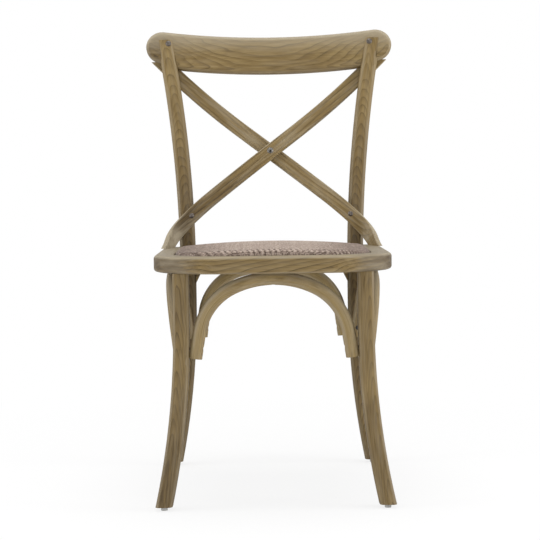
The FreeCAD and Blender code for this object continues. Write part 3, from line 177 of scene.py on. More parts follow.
class Paint:
    """Builds one node material."""

    def __init__(self, name: str) -> None:
        """Start an empty material with its shader and output."""
        self.material = bpy.data.materials.new(name)
        self.material.use_nodes = True
        self.tree = self.material.node_tree
        self.tree.nodes.clear()
        self.shader = self.tree.nodes.new("ShaderNodeBsdfPrincipled")
        self.output = self.tree.nodes.new("ShaderNodeOutputMaterial")
        self.tree.links.new(self.shader.outputs["BSDF"], self.output.inputs["Surface"])

    def lit(self) -> Signal:
        """Light from the principled shader, for mixing with another shader."""
        return Signal(self, self.shader.outputs["BSDF"])

    def _feed(self, socket: bpy.types.NodeSocket, value: object) -> None:
        """Link a signal to a socket or set its default value."""
        if isinstance(value, Signal):
            self.tree.links.new(value.socket, socket)
        elif isinstance(value, tuple) and len(socket.default_value) == len(value) + 1:
            socket.default_value = (*value, 1.0)
        else:
            socket.default_value = value

    def node(
        self,
        kind: str,
        settings: dict[str, object] | None = None,
        values: dict[int | str, object] | None = None,
        output: int | str = 0,
    ) -> Signal:
        """Add any node.

        Args:
            kind: Blender's node type.
            settings: properties of the node, set before its sockets; "stops" fills a ramp.
            values: numbers, tuples or signals for its input sockets.
            output: name or index of the output socket to return.

        Returns:
            The chosen output as a signal.
        """
        made = self.tree.nodes.new(kind)
        for key, value in (settings or {}).items():
            if key == "stops":
                self._set_stops(made.color_ramp, value)
            else:
                setattr(made, key, value)
        for key, value in (values or {}).items():
            self._feed(made.inputs[key], value)
        return Signal(self, made.outputs[output])

    @staticmethod
    def _set_stops(ramp: bpy.types.ColorRamp, stops: list[tuple[float, Colour]]) -> None:
        """Fill a colour ramp with (place, colour) stops."""
        while len(ramp.elements) < len(stops):
            ramp.elements.new(0.5)
        for element, (place, colour) in zip(ramp.elements, stops):
            element.position = place
            element.color = (*colour, 1.0)

    def place(self) -> Signal:
        """Object coordinates, which are metres in the part's frame."""
        return self.node("ShaderNodeTexCoord", output="Object")

    def split(self, vector: Signal) -> Coordinates:
        """Take a vector apart into its three numbers."""
        first = self.node("ShaderNodeSeparateXYZ", {}, {0: vector})
        outputs = first.socket.node.outputs
        return tuple(Signal(self, outputs[i]) for i in range(3))

    def join(self, x: Signal | float, y: Signal | float, z: Signal | float) -> Signal:
        """Put three numbers together into a vector."""
        return self.node("ShaderNodeCombineXYZ", {}, {0: x, 1: y, 2: z})

    def mapped(self, vector: Signal, shift: Triple, turn: Triple) -> Signal:
        """Shift a vector and turn it, so that a pattern lies along a piece.

        Args:
            vector: coordinates.
            shift: point that becomes the origin.
            turn: Euler angles of the pattern's axes, in radians.

        Returns:
            Coordinates seen from the turned axes.
        """
        settings = {"vector_type": "TEXTURE"}
        values = {"Vector": vector, "Location": shift, "Rotation": turn}
        return self.node("ShaderNodeMapping", settings, values)

    def noise(
        self,
        vector: Signal,
        scale: float,
        detail: float = 2.0,
        roughness: float = 0.5,
        extra: Signal | float | None = None,
    ) -> Signal:
        """Add a fractal noise from 0 to 1.

        Args:
            vector: coordinates.
            scale: cells per unit of the coordinates.
            detail: octaves.
            roughness: share of each finer octave.
            extra: a fourth coordinate, if the pattern needs one.

        Returns:
            The noise.
        """
        values = {"Vector": vector, "Scale": scale, "Detail": detail, "Roughness": roughness}
        if extra is None:
            return self.node("ShaderNodeTexNoise", {}, values)
        return self.node(
            "ShaderNodeTexNoise", {"noise_dimensions": "4D"}, {**values, "W": extra}
        )

    def mix(
        self, share: Signal | float, first: Signal | Colour, second: Signal | Colour
    ) -> Signal:
        """Mix two colours.

        Args:
            share: 0 gives the first colour and 1 the second.
            first: colour or signal.
            second: colour or signal.

        Returns:
            The mixed colour.
        """
        # sockets 6 and 7 of the Mix node take the colours, and its output 2 is their mix
        values = {0: share, 6: first, 7: second}
        return self.node("ShaderNodeMix", {"data_type": "RGBA"}, values, output=2)

    def palette(self, tone: Signal, stops: list[tuple[float, str]]) -> Signal:
        """Turn a tone into a colour between (place, hex code) stops."""
        ramp = [(place, hex_colour(code)) for place, code in stops]
        return self.node("ShaderNodeValToRGB", {"stops": ramp}, {0: tone})

    def attribute(self, name: str) -> Signal:
        """Read a number that the piece's own vertices carry."""
        return self.node("ShaderNodeAttribute", {"attribute_name": name}, output="Fac")

    def bump(self, height: Signal, distance: float, strength: float = 1.0) -> None:
        """Feed a bump to the shader's normal.

        Args:
            height: signal that stands for the relief.
            distance: metres that one unit of height stands for.
            strength: share of the effect.
        """
        values = {"Height": height, "Distance": distance, "Strength": strength}
        self.finish({"Normal": self.node("ShaderNodeBump", {}, values)})

    def finish(self, values: dict[str, object]) -> bpy.types.Material:
        """Set or link the shader's own sockets and return the material."""
        for key, value in values.items():
            self._feed(self.shader.inputs[key], value)
        return self.material


@dataclass(frozen=True)
class Grain:
    """Directions of the fibres in one piece, as coordinates that follow them.

    The base class follows a straight line through origin along axis.
    """

    origin: Triple
    axis: Triple = (0.0, 0.0, 1.0)
    face: Triple = (0.0, -1.0, 0.0)

    def turn(self) -> Triple:
        """Euler angles that put local Z along the fibres and local Y against the face."""
        along = Vector(self.axis).normalized()
        back = -(Vector(self.face) - Vector(self.face).dot(along) * along).normalized()
        side = back.cross(along)
        return tuple(Matrix((side, back, along)).transposed().to_euler())

    def coordinates(self, paint: Paint) -> Coordinates:
        """Work out metres across the face, into it and along the fibres."""
        return paint.split(paint.mapped(paint.place(), self.origin, self.turn()))


@dataclass(frozen=True)
class BentGrain(Grain):
    """Fibres that bow away from a straight leg, as in a steamed post.

    The offset in the bow's direction is R - sqrt(R^2 - h^2), with h the height past the
    start of the bend.
    """

    bow: tuple[float, float] = (0.0, 1.0)
    upper_start: float = 1.0
    upper_radius: float = 1.0
    lower_start: float = 0.0
    lower_radius: float = 1.0
    lower_bow: tuple[float, float] = (0.0, 1.0)

    def coordinates(self, paint: Paint) -> Coordinates:
        """Work out metres across the face, into it and along the fibres."""
        x, y, z = paint.split(paint.place())
        up = (z - self.upper_start).at_least(0.0)
        down = (self.lower_start - z).at_least(0.0)
        rise = self.upper_radius - (self.upper_radius**2 - up * up).sqrt()
        fall = self.lower_radius - (self.lower_radius**2 - down * down).sqrt()
        across = x - self.origin[0] - rise * self.bow[0] - fall * self.lower_bow[0]
        deep = y - self.origin[1] - rise * self.bow[1] - fall * self.lower_bow[1]
        return across, deep, z


@dataclass(frozen=True)
class HoopGrain(Grain):
    """Fibres that follow an arch, from foot over the crown to foot.

    Across the fibres is the change of the rounded level |u/a|^n + |v/b|^n, scaled to
    metres, with u level and v up from the arch's feet.
    """

    half_span: float = 0.15
    height: float = 0.15
    power: float = 2.6

    def coordinates(self, paint: Paint) -> Coordinates:
        """Work out metres across the arch's plane, through it and along the fibres."""
        u, deep, v = paint.split(paint.mapped(paint.place(), self.origin, self.turn()))
        rise = v.at_least(0.0) / self.height
        level = (u.absolute() / self.half_span) ** self.power + rise**self.power
        across = (level ** (1 / self.power) - 1) * min(self.half_span, self.height)
        return across, deep, u * (1 + rise)


@dataclass(frozen=True)
class RingGrain(Grain):
    """Fibres that run round the seat frame along its rounded outline.

    Across the fibres is the distance to a rounded rectangle, and along them the angle round
    the seat's middle times a mean radius.
    """

    half_width: float = 0.222
    half_depth: float = 0.222
    corner: float = 0.09

    def coordinates(self, paint: Paint) -> Coordinates:
        """Work out metres in height, from the outline and round the ring."""
        x, y, z = paint.split(paint.mapped(paint.place(), self.origin, (0.0, 0.0, 0.0)))
        out_x = x.absolute() - (self.half_width - self.corner)
        out_y = y.absolute() - (self.half_depth - self.corner)
        outside = out_x.at_least(0.0).hypotenuse(out_y.at_least(0.0))
        distance = outside + out_x.at_least(out_y).at_most(0.0) - self.corner
        # the angle is 0 at the middle of the front rail, grows to the right and jumps at
        # the middle of the back rail
        angle = paint.node("ShaderNodeMath", {"operation": "ARCTAN2"}, {0: x, 1: y * -1.0})
        return z, distance, angle * self.half_width


class Figure(Enum):
    """How a board was sawn, which sets what its rings show."""

    FLAT = "flat"
    QUARTER = "quarter"
    RIFT = "rift"
    LAYERED = "layered"


@dataclass(frozen=True)
class Streaks:
    """Noise that is drawn out along the fibres of a piece.

    The cells are counted per metre across the fibres. Of the way along them only the share
    called stretch counts, and offset keeps the patterns of one piece apart.
    """

    cells: float
    stretch: float
    detail: float = 2.0
    roughness: float = 0.5
    offset: float = 0.0

    def signal(self, paint: Paint, place: Coordinates, seed: float) -> Signal:
        """Add the noise, from 0 to 1, to a piece's material."""
        across, deep, along = place
        drawn = paint.join(across, deep, along * self.stretch)
        return paint.noise(drawn, self.cells, self.detail, self.roughness, seed + self.offset)


@dataclass(frozen=True)
class Ramp:
    """Smooth change from start to end while a signal goes from low to high."""

    low: float
    high: float
    start: float = 0.0
    end: float = 0.0

    def of(self, signal: Signal) -> Signal:
        """Put a signal through the ramp."""
        return signal.ramp(self.low, self.high, self.start, self.end)


NO_CHANGE = Ramp(0.0, 1.0)

# patterns in the wood, from the slowest bend of the fibres to the finest of them
HEART_SWAY = Streaks(7, 0.35, detail=1, offset=3)
PATCHES = Streaks(16, 0.4, detail=3, roughness=0.55, offset=11)
FIBRE_WANDER = Streaks(24, 0.25)
WASH_STREAKS = Streaks(120, 0.10, detail=3, roughness=0.6, offset=5)
VEINS = Streaks(230, 0.08, roughness=0.6, offset=17)
PORES = Streaks(520, 0.045, detail=1, offset=7)
FIBRES = Streaks(900, 0.03, detail=3, roughness=0.62)

# parts of a ring, as shares of its width: pale early wood, late wood and a dark line
LATE_RISE, LATE_DROP = (0.25, 0.90), (0.93, 1.0)
LINE_RISE, LINE_DROP = (0.78, 0.90), (0.94, 1.0)

# how far each pattern moves the tone between dark (0) and light (1)
MIDDLE_TONE = 0.5
FIBRE_TONE = 0.60
VEIN_TONE = 0.75
PATCH_TONE = 0.70
LATE_TONE = 0.22
DARK_STOP, MIDDLE_STOP, LIGHT_STOP = 0.12, 0.46, 0.80

# where lines break off in patches, and where pores open
LINE_BREAKS = Ramp(0.38, 0.60, 0.12, 1.0)
PORE_MOUTH = (0.60, 0.70)

# how strongly lines, pores and wash cover what lies under them
LINE_COVER, LINE_LIMIT = 0.85, 0.9
PORE_COVER = 0.30
WASH_LIMIT = 0.85

# wash: where its streaks lie, how far a face looks up for the painted light from above, and how
# far an edge is bent
WASH_STREAK = (0.38, 0.72)
UPWARD, UPWARD_PAINTED_LIGHT = (0.2, 1.0), 0.50
EDGE_BEND, EDGE_STREAK = (0.03, 0.20), 1.4

# metres that the heart swings to either side, and how rings lean in boards sawn otherwise
HEART_SWING = 0.012
QUARTER_LEAN = 0.35
RIFT_LEAN = 0.72

# surface: depth and strength of the relief, and the shine of wood, lines and pores
WOOD_RELIEF, RELIEF_SHARE = 0.00022, 0.55
FIBRE_HEIGHT, LINE_DEPTH = 0.5, 0.8
WOOD_ROUGHNESS, LINE_POLISH, PORE_ROUGHNESS = 0.56, 0.08, 0.15
WOOD_SPECULAR = 0.22
WOOD_COAT, COAT_ROUGHNESS = 0.02, 0.42


@dataclass(frozen=True)
class WoodFinish:
    """Weathered oak or elm: washed grey-brown, with darker rings, pores and pale wear.

    heart is where the middle of the trunk lies, across the face and behind it. taper says
    how fast the rings leave the piece along its fibres, and wander how far noise bends them.
    shade moves the whole tone, fade changes it along the fibres, the highlight ramp adds wash by
    height as a painted highlight where a face catches the light, and edge_wear pales the edges.
    """

    name: str
    grain: Grain
    figure: Figure = Figure.FLAT
    seed: float = 0.0
    ring_width: float = 0.0020
    heart: tuple[float, float] = (0.0, 0.038)
    taper: float = 0.10
    light: str = "917D53"
    middle: str = "74603A"
    dark: str = "4A3A20"
    line: str = "2F2410"
    wash: str = "A0957F"
    wash_share: float = 0.15
    contrast: float = 1.0
    wander: float = 0.0035
    shade: float = 0.0
    fade: Ramp = NO_CHANGE
    painted_highlight: Ramp = NO_CHANGE
    edge_wear: float = 0.30

    def reach(self, paint: Paint, place: Coordinates) -> Signal:
        """Work out the distance over which the rings are counted.

        It is measured from the heart where the board is flat sawn, and straight through
        the board otherwise.
        """
        across, deep, along = place
        wander = FIBRE_WANDER.signal(paint, place, self.seed)
        if self.figure is Figure.QUARTER:
            reach = across + deep * QUARTER_LEAN
        elif self.figure is Figure.RIFT:
            reach = (across + deep) * RIFT_LEAN
        elif self.figure is Figure.LAYERED:
            reach = deep
        else:
            sway = HEART_SWAY.signal(paint, place, self.seed)
            aside = across - self.heart[0] + (sway - 0.5) * HEART_SWING
            reach = aside.hypotenuse(deep + self.heart[1])
        return reach + along * self.taper + (wander - 0.5) * self.wander

    def wash_and_painted_light(self, paint: Paint, place: Coordinates) -> Signal:
        """Work out the grey wash: weathered streaks, thicker on worn edges, plus painted light:
        paler on upward faces and by height where a face catches the light.
        """
        streak = WASH_STREAKS.signal(paint, place, self.seed)
        side, front, up = paint.split(paint.node("ShaderNodeNewGeometry", output="Normal"))
        flat = side.absolute().at_least(front.absolute()).at_least(up.absolute())
        worn = (1 - flat).ramp(*EDGE_BEND) * (streak * EDGE_STREAK).at_most(1.0)
        height = paint.split(paint.place())[2]
        return (
            streak.ramp(*WASH_STREAK) * self.wash_share
            # faces that look up are painted paler: a painted highlight for the light from above
            + up.ramp(*UPWARD) * UPWARD_PAINTED_LIGHT
            + worn * self.edge_wear
            # painted highlight: wash by height where a face catches the light
            + self.painted_highlight.of(height)
        )

    def make(self) -> bpy.types.Material:
        """Build the material.

        Returns:
            Wood whose ring number is the reach over a ring width.
        """
        paint = Paint(self.name)
        place = self.grain.coordinates(paint)
        phase = (self.reach(paint, place) / self.ring_width + self.seed).fract()
        late = phase.pulse(LATE_RISE, LATE_DROP)
        line = phase.pulse(LINE_RISE, LINE_DROP)
        fibre = FIBRES.signal(paint, place, self.seed)
        vein = VEINS.signal(paint, place, self.seed)
        patch = PATCHES.signal(paint, place, self.seed)
        pore = PORES.signal(paint, place, self.seed).ramp(*PORE_MOUTH)
        tone = (
            (MIDDLE_TONE + self.shade)
            + (fibre - 0.5) * (FIBRE_TONE * self.contrast)
            + (vein - 0.5) * (VEIN_TONE * self.contrast)
            + (patch - 0.5) * PATCH_TONE
            - late * (LATE_TONE * self.contrast)
            + self.fade.of(place[2])
        )
        base = paint.palette(
            tone, [(DARK_STOP, self.dark), (MIDDLE_STOP, self.middle), (LIGHT_STOP, self.light)]
        )
        dark_line = hex_colour(self.line)
        drawn = line * LINE_BREAKS.of(patch) * (LINE_COVER * self.contrast)
        lined = paint.mix(drawn.at_most(LINE_LIMIT), base, dark_line)
        pored = paint.mix(pore * PORE_COVER, lined, dark_line)
        wash_and_painted_light = self.wash_and_painted_light(paint, place).at_most(WASH_LIMIT)
        relief = fibre * FIBRE_HEIGHT - line * LINE_DEPTH - pore
        paint.bump(relief, WOOD_RELIEF, RELIEF_SHARE)
        return paint.finish(
            {
                "Base Color": paint.mix(wash_and_painted_light, pored, hex_colour(self.wash)),
                "Roughness": WOOD_ROUGHNESS - line * LINE_POLISH + pore * PORE_ROUGHNESS,
                "Specular IOR Level": WOOD_SPECULAR,
                "Coat Weight": WOOD_COAT,
                "Coat Roughness": COAT_ROUGHNESS,
            }
        )


@dataclass(frozen=True)
class Hole:
    """Round socket in a bolt's head, painted near black as the shade in its hollow: its middle,
    seen from the front, and its radius.
    """

    x: float
    z: float
    radius: float
    colour: str = "0B0A0A"

    def cover(self, paint: Paint) -> Signal:
        """Go from 1 in the socket to 0 outside, with a slightly soft rim."""
        x, _, z = paint.split(paint.place())
        far = (x - self.x).hypotenuse(z - self.z)
        return far.ramp(self.radius * 0.8, self.radius * 1.1, 1.0, 0.0)


@dataclass(frozen=True)
class MetalFinish:
    """Plated steel of a screw or bolt, with grime in clouds and fine scratches."""

    name: str
    bright: str = "625B55"
    dull: str = "332E2A"
    roughness: float = 0.42
    metallic: float = 0.75
    hole: Hole | None = None
    grime: Ramp = Ramp(0.42, 0.66, 0.0, 1.0)
    grime_cover: float = 0.7
    cloud_cells: float = 420.0
    scratch_cells: float = 2600.0
    scratch_turn: Triple = (0.4, 0.7, 0.2)
    scratch_depth: float = 0.00004

    def make(self) -> bpy.types.Material:
        """Build the material."""
        paint = Paint(self.name)
        place = paint.place()
        turned = paint.mapped(place, (0.0, 0.0, 0.0), self.scratch_turn)
        scratch = paint.noise(turned, self.scratch_cells, 2, 0.7)
        grime = self.grime.of(paint.noise(place, self.cloud_cells, 3, 0.6))
        cover = grime * self.grime_cover
        colour = paint.mix(cover, hex_colour(self.bright), hex_colour(self.dull))
        if self.hole:
            # the socket is painted near black, the shade in its hollow, and takes the dull, rough
            # surface of grime
            inside = self.hole.cover(paint)
            colour = paint.mix(inside, colour, hex_colour(self.hole.colour))
            grime = grime.at_least(inside)
        paint.bump(scratch, self.scratch_depth, 0.5)
        return paint.finish(
            {
                "Base Color": colour,
                "Metallic": self.metallic - grime * 0.3,
                "Roughness": self.roughness + grime * 0.2 + (scratch - 0.5) * 0.15,
            }
        )


@dataclass(frozen=True)
class PlainFinish:
    """Moulded plastic: one hue with mottling, scuffs and a soft relief."""

    name: str
    colour: str
    shade: str
    roughness: float = 0.5
    cell: float = 700.0
    scuff_cells: float = 90.0
    relief: float = 0.00008

    def make(self) -> bpy.types.Material:
        """Build the material."""
        paint = Paint(self.name)
        mottle = paint.noise(paint.place(), self.cell, 3, 0.6)
        scuff = paint.noise(paint.place(), self.scuff_cells, 4, 0.65).ramp(0.45, 0.75)
        share = mottle * 0.4 + scuff * 0.45
        colour = paint.mix(share, hex_colour(self.colour), hex_colour(self.shade))
        paint.bump(mottle, self.relief, 0.6)
        return paint.finish(
            {"Base Color": colour, "Roughness": self.roughness + scuff * 0.15}
        )


@dataclass(frozen=True)
class RattanFinish:
    """Split rattan: pinkish grey-brown strands, streaked along, with painted shade in the hollows
    between them and painted light where they lie high.
    """

    name: str = "woven_rattan_finish"
    light: str = "B9A99C"
    middle: str = "97867A"
    dark: str = "5A4A40"
    hollow_shade: str = "3E3128"
    streak_cells: float = 1900.0
    streak_stretch: float = 0.05
    speck_cells: float = 430.0
    speck_stretch: float = 0.55
    strand_tone: float = 0.16
    streak_tone: float = 0.9
    speck_tone: float = 1.9
    raised_light: float = 0.80
    base_tone: float = -0.05
    side_shade: Ramp = Ramp(0.05, 0.19, 0.0, 0.36)
    hollow_shade_cover: float = 0.85
    relief: float = 0.00012
    roughness: float = 0.62
    specular: float = 0.35

    def make(self) -> bpy.types.Material:
        """Build the material from the piece's own height and strand attributes."""
        paint = Paint(self.name)
        raised, lengthwise, strand = (
            paint.attribute(name) for name in ("raised", "lengthwise", "strand")
        )
        x, y, z = paint.split(paint.place())
        # streaks run along whichever strand lies on top
        drawn = (
            paint.join(x, y * self.streak_stretch, z),
            paint.join(x * self.streak_stretch, y, z),
        )
        along_y, along_x = (paint.noise(d, self.streak_cells, 2, 0.6) for d in drawn)
        streak = along_x + (along_y - along_x) * lengthwise
        speck = paint.noise(
            paint.join(x * self.speck_stretch, y, z), self.speck_cells, 2, 0.6
        )
        hue = (
            (strand - 0.5) * self.strand_tone
            + (streak - 0.5) * self.streak_tone
            + (speck - 0.5) * self.speck_tone
            # strands that lie high are painted lighter: painted light on the crests of the weave
            + raised * self.raised_light
            + self.base_tone
            - self.side_shade.of(x.absolute())
        )
        base = paint.palette(hue, [(0.15, self.dark), (0.5, self.middle), (0.85, self.light)])
        # the low parts of the weave take the dark colour: painted shade in the hollows between
        # strands
        hollow_shade = raised.ramp(0.12, 0.58, 1.0, 0.0)
        paint.bump(streak, self.relief, 0.5)
        return paint.finish(
            {
                "Base Color": paint.mix(hollow_shade * self.hollow_shade_cover, base, hex_colour(self.hollow_shade)),
                "Roughness": self.roughness + hollow_shade * 0.2,
                "Specular IOR Level": self.specular,
            }
        )


def surface_object(
    name: str, points: np.ndarray, faces: list[np.ndarray], smooth: bool = True
) -> bpy.types.Object:
    """Make an object from points and faces.

    Args:
        name: name of the object and its mesh.
        points: one row per vertex.
        faces: arrays of vertex numbers, one row per face.
        smooth: shade smoothly.

    Returns:
        The new object, linked to the scene.
    """
    mesh = bpy.data.meshes.new(name)
    mesh.from_pydata(points.tolist(), [], [row for block in faces for row in block.tolist()])
    mesh.polygons.foreach_set("use_smooth", np.full(len(mesh.polygons), smooth))
    mesh.update()
    made = bpy.data.objects.new(name, mesh)
    bpy.context.scene.collection.objects.link(made)
    return made


def grid_faces(number: np.ndarray) -> np.ndarray:
    """List the quads of a grid of vertices.

    Args:
        number: the vertices' numbers, in rows and columns.

    Returns:
        One row of four vertex numbers per quad, turning anticlockwise from above when
        columns run along X and rows along Y.
    """
    corners = (number[:-1, :-1], number[:-1, 1:], number[1:, 1:], number[1:, :-1])
    return np.stack([c.ravel() for c in corners], axis=1)


def rounded_off(radius: float, past: np.ndarray) -> np.ndarray:
    """Work out what a round corner or edge takes away.

    Args:
        radius: its radius.
        past: distances past its centre, towards the outline.

    Returns:
        r - sqrt(r^2 - s^2) with s the distance past the centre, and 0 before it.
    """
    past = np.clip(past, 0, radius)
    return radius - np.sqrt(radius**2 - past**2)


@dataclass(frozen=True)
class Twill:
    """Weave of flat strands that pass over two and under two others.

    A strand's section is the root of 1 - f s^2 across it. Along it the height is a cosine
    wave over four cells, shifted by one cell from strand to strand. Each strand takes its
    shade from a list of random ones, in steps.
    """

    pitch: float = 0.0025
    relief: float = 0.0009
    repeat: int = 4
    flatness: float = 0.9
    dip: float = 0.25
    seed: int = 4
    shades: int = 4096
    warp_step: int = 7
    weft_step: int = 13
    weft_start: int = 501

    def section(self, place: np.ndarray) -> np.ndarray:
        """Height of a strand across its width, from place -1 to 1."""
        return np.sqrt(1 - self.flatness * place**2)

    def at(self, x: np.ndarray, y: np.ndarray) -> dict[str, np.ndarray]:
        """Work out the weave at some points.

        Returns:
            The height from 0 to 1 as raised, whether the strand on top runs along Y as
            lengthwise, and that strand's own shade as strand.
        """
        column, row = np.floor(x / self.pitch), np.floor(y / self.pitch)
        wave_y = 0.5 + 0.5 * np.cos(2 * np.pi * (y / self.pitch + column - 0.5) / self.repeat)
        wave_x = 0.5 - 0.5 * np.cos(2 * np.pi * (x / self.pitch + row + 0.5) / self.repeat)
        side = 2 * (x / self.pitch - column) - 1
        level = 2 * (y / self.pitch - row) - 1
        warp = self.section(side) * (self.dip + (1 - self.dip) * wave_y)
        weft = self.section(level) * (self.dip + (1 - self.dip) * wave_x)
        shades = np.random.default_rng(self.seed).random(self.shades)
        warp_number = column.astype(int) * self.warp_step
        weft_number = row.astype(int) * self.weft_step + self.weft_start
        shade_y = shades[warp_number % self.shades]
        shade_x = shades[weft_number % self.shades]
        on_top = warp > weft
        return {
            "raised": np.maximum(warp, weft),
            "lengthwise": on_top.astype(float),
            "strand": np.where(on_top, shade_y, shade_x),
        }


@dataclass
class WovenSeat:
    """Crowned seat panel of woven rattan that lies in the rebate of the seat frame."""

    half_width: float
    front: float
    rear: float
    bottom: float
    front_corner: float = 0.0899
    rear_corner: float = 0.0254
    crown_across: float = 1.8
    crown_along: float = 3.8
    crown_top: float = 0.471
    crown_middle: float = -0.036
    edge_round: float = 0.008
    pressed_rim: float = 0.014
    pressed_relief: float = 0.3
    shoulder: float = 0.4
    crowding: float = 0.035
    wall_mark: float = 0.3
    columns: int = 520
    rows: int = 520
    weave: Twill = Twill()
    finish: RattanFinish = RattanFinish()

    @classmethod
    def over(cls, node: str) -> WovenSeat:
        """Make a panel that fills the box of a node."""
        low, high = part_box(node)
        return cls(half_width=high.x, front=low.y, rear=high.y, bottom=low.z)

    @property
    def middle(self) -> float:
        """Depth halfway between the front and the rear."""
        return (self.front + self.rear) / 2

    def spread(self, count: int) -> np.ndarray:
        """Share out count values from -1 to 1 as t + e sin(pi t), a little denser at the ends."""
        t = np.linspace(-1, 1, count)
        return t + self.crowding * np.sin(np.pi * t)

    def half_width_at(self, y: np.ndarray) -> np.ndarray:
        """Half the panel's width at a depth: full, less what a round corner takes."""
        taken = rounded_off(self.front_corner, self.front + self.front_corner - y)
        taken += rounded_off(self.rear_corner, y - self.rear + self.rear_corner)
        return self.half_width - taken

    def inset(self, x: np.ndarray, y: np.ndarray) -> np.ndarray:
        """Distance inwards from the outline, by the signed distance of a rounded box."""
        corner = np.where(y < self.middle, self.front_corner, self.rear_corner)
        out_x = np.abs(x) - (self.half_width - corner)
        out_y = np.abs(y - self.middle) - ((self.rear - self.front) / 2 - corner)
        outside = np.hypot(np.maximum(out_x, 0), np.maximum(out_y, 0))
        return np.clip(corner - outside - np.minimum(np.maximum(out_x, out_y), 0), 0, None)

    def top(self) -> tuple[np.ndarray, dict[str, np.ndarray]]:
        """Work out the woven top.

        It falls from the crown by x^2 / 2 Rx + y^2 / 2 Ry, less a quarter round at the
        outline, plus the relief of the weave, which is pressed flatter near the edge.

        Returns:
            One row of coordinates per vertex, and what the weave says there.
        """
        y = self.middle + self.spread(self.rows) * (self.rear - self.front) / 2
        x = self.spread(self.columns)[None, :] * self.half_width_at(y)[:, None]
        y = np.broadcast_to(y[:, None], x.shape)
        fall_across = x**2 / (2 * self.crown_across)
        fall_along = (y - self.crown_middle) ** 2 / (2 * self.crown_along)
        z = self.crown_top - fall_across - fall_along
        inset = self.inset(x, y)
        z = z - rounded_off(self.edge_round, self.edge_round - inset)
        woven = self.weave.at(x, y)
        pressed = np.clip(inset / self.pressed_rim, self.pressed_relief, 1)
        z = z + (woven["raised"] - 1.0) * self.weave.relief * pressed
        return np.stack([x, y, z], axis=-1).reshape(-1, 3), woven

    def build(self) -> bpy.types.Object:
        """Make the crowned panel: woven top, side wall in two bands and flat underside."""
        top, woven = self.top()
        number = np.arange(len(top)).reshape(self.rows, self.columns)
        rim = np.concatenate(
            [number[0, :-1], number[:-1, -1], number[-1, :0:-1], number[:0:-1, 0]]
        )
        wall = np.repeat(top[None, rim], 2, axis=0)
        wall[0, :, 2] = self.bottom + self.shoulder * (wall[0, :, 2] - self.bottom)
        wall[1, :, 2] = self.bottom
        hub = len(top) + 2 * len(rim)
        loops = np.concatenate([rim[None], np.arange(len(top), hub).reshape(2, -1)])
        upper, lower, last = loops[:-1], loops[1:], loops[-1]
        after = np.roll(np.arange(len(rim)), -1)
        corners = (upper, lower, lower[:, after], upper[:, after])
        sides = np.stack([corner.ravel() for corner in corners], axis=1)
        under = np.stack([last, np.full(len(last), hub), last[after]], axis=1)
        centre = np.array([[0, self.middle, self.bottom]])
        points = np.concatenate([top, wall.reshape(-1, 3), centre])
        made = surface_object("woven_seat", points, [grid_faces(number), sides, under])
        # the wall and underside take one middle height, which gives them part of the painted
        # hollow shade
        rest = np.full(len(points) - len(top), self.wall_mark)
        for name, values in woven.items():
            layer = made.data.attributes.new(name, "FLOAT", "POINT")
            layer.data.foreach_set("value", np.concatenate([values.ravel(), rest]))
        return made

    def dress(self, seat: bpy.types.Object) -> bpy.types.Object:
        """Give the panel its finish, hang it under the root body and hide the nodes that it stands
        for.
        """
        seat.data.materials.append(self.finish.make())
        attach(seat, "root")
        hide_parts("seat_weave", "seat_pad")
        return seat


# the two sides with the sign of their X, and the height of the arches' feet
SIDES = (("left", -1.0), ("right", 1.0))
ARCH_FEET = 0.2685


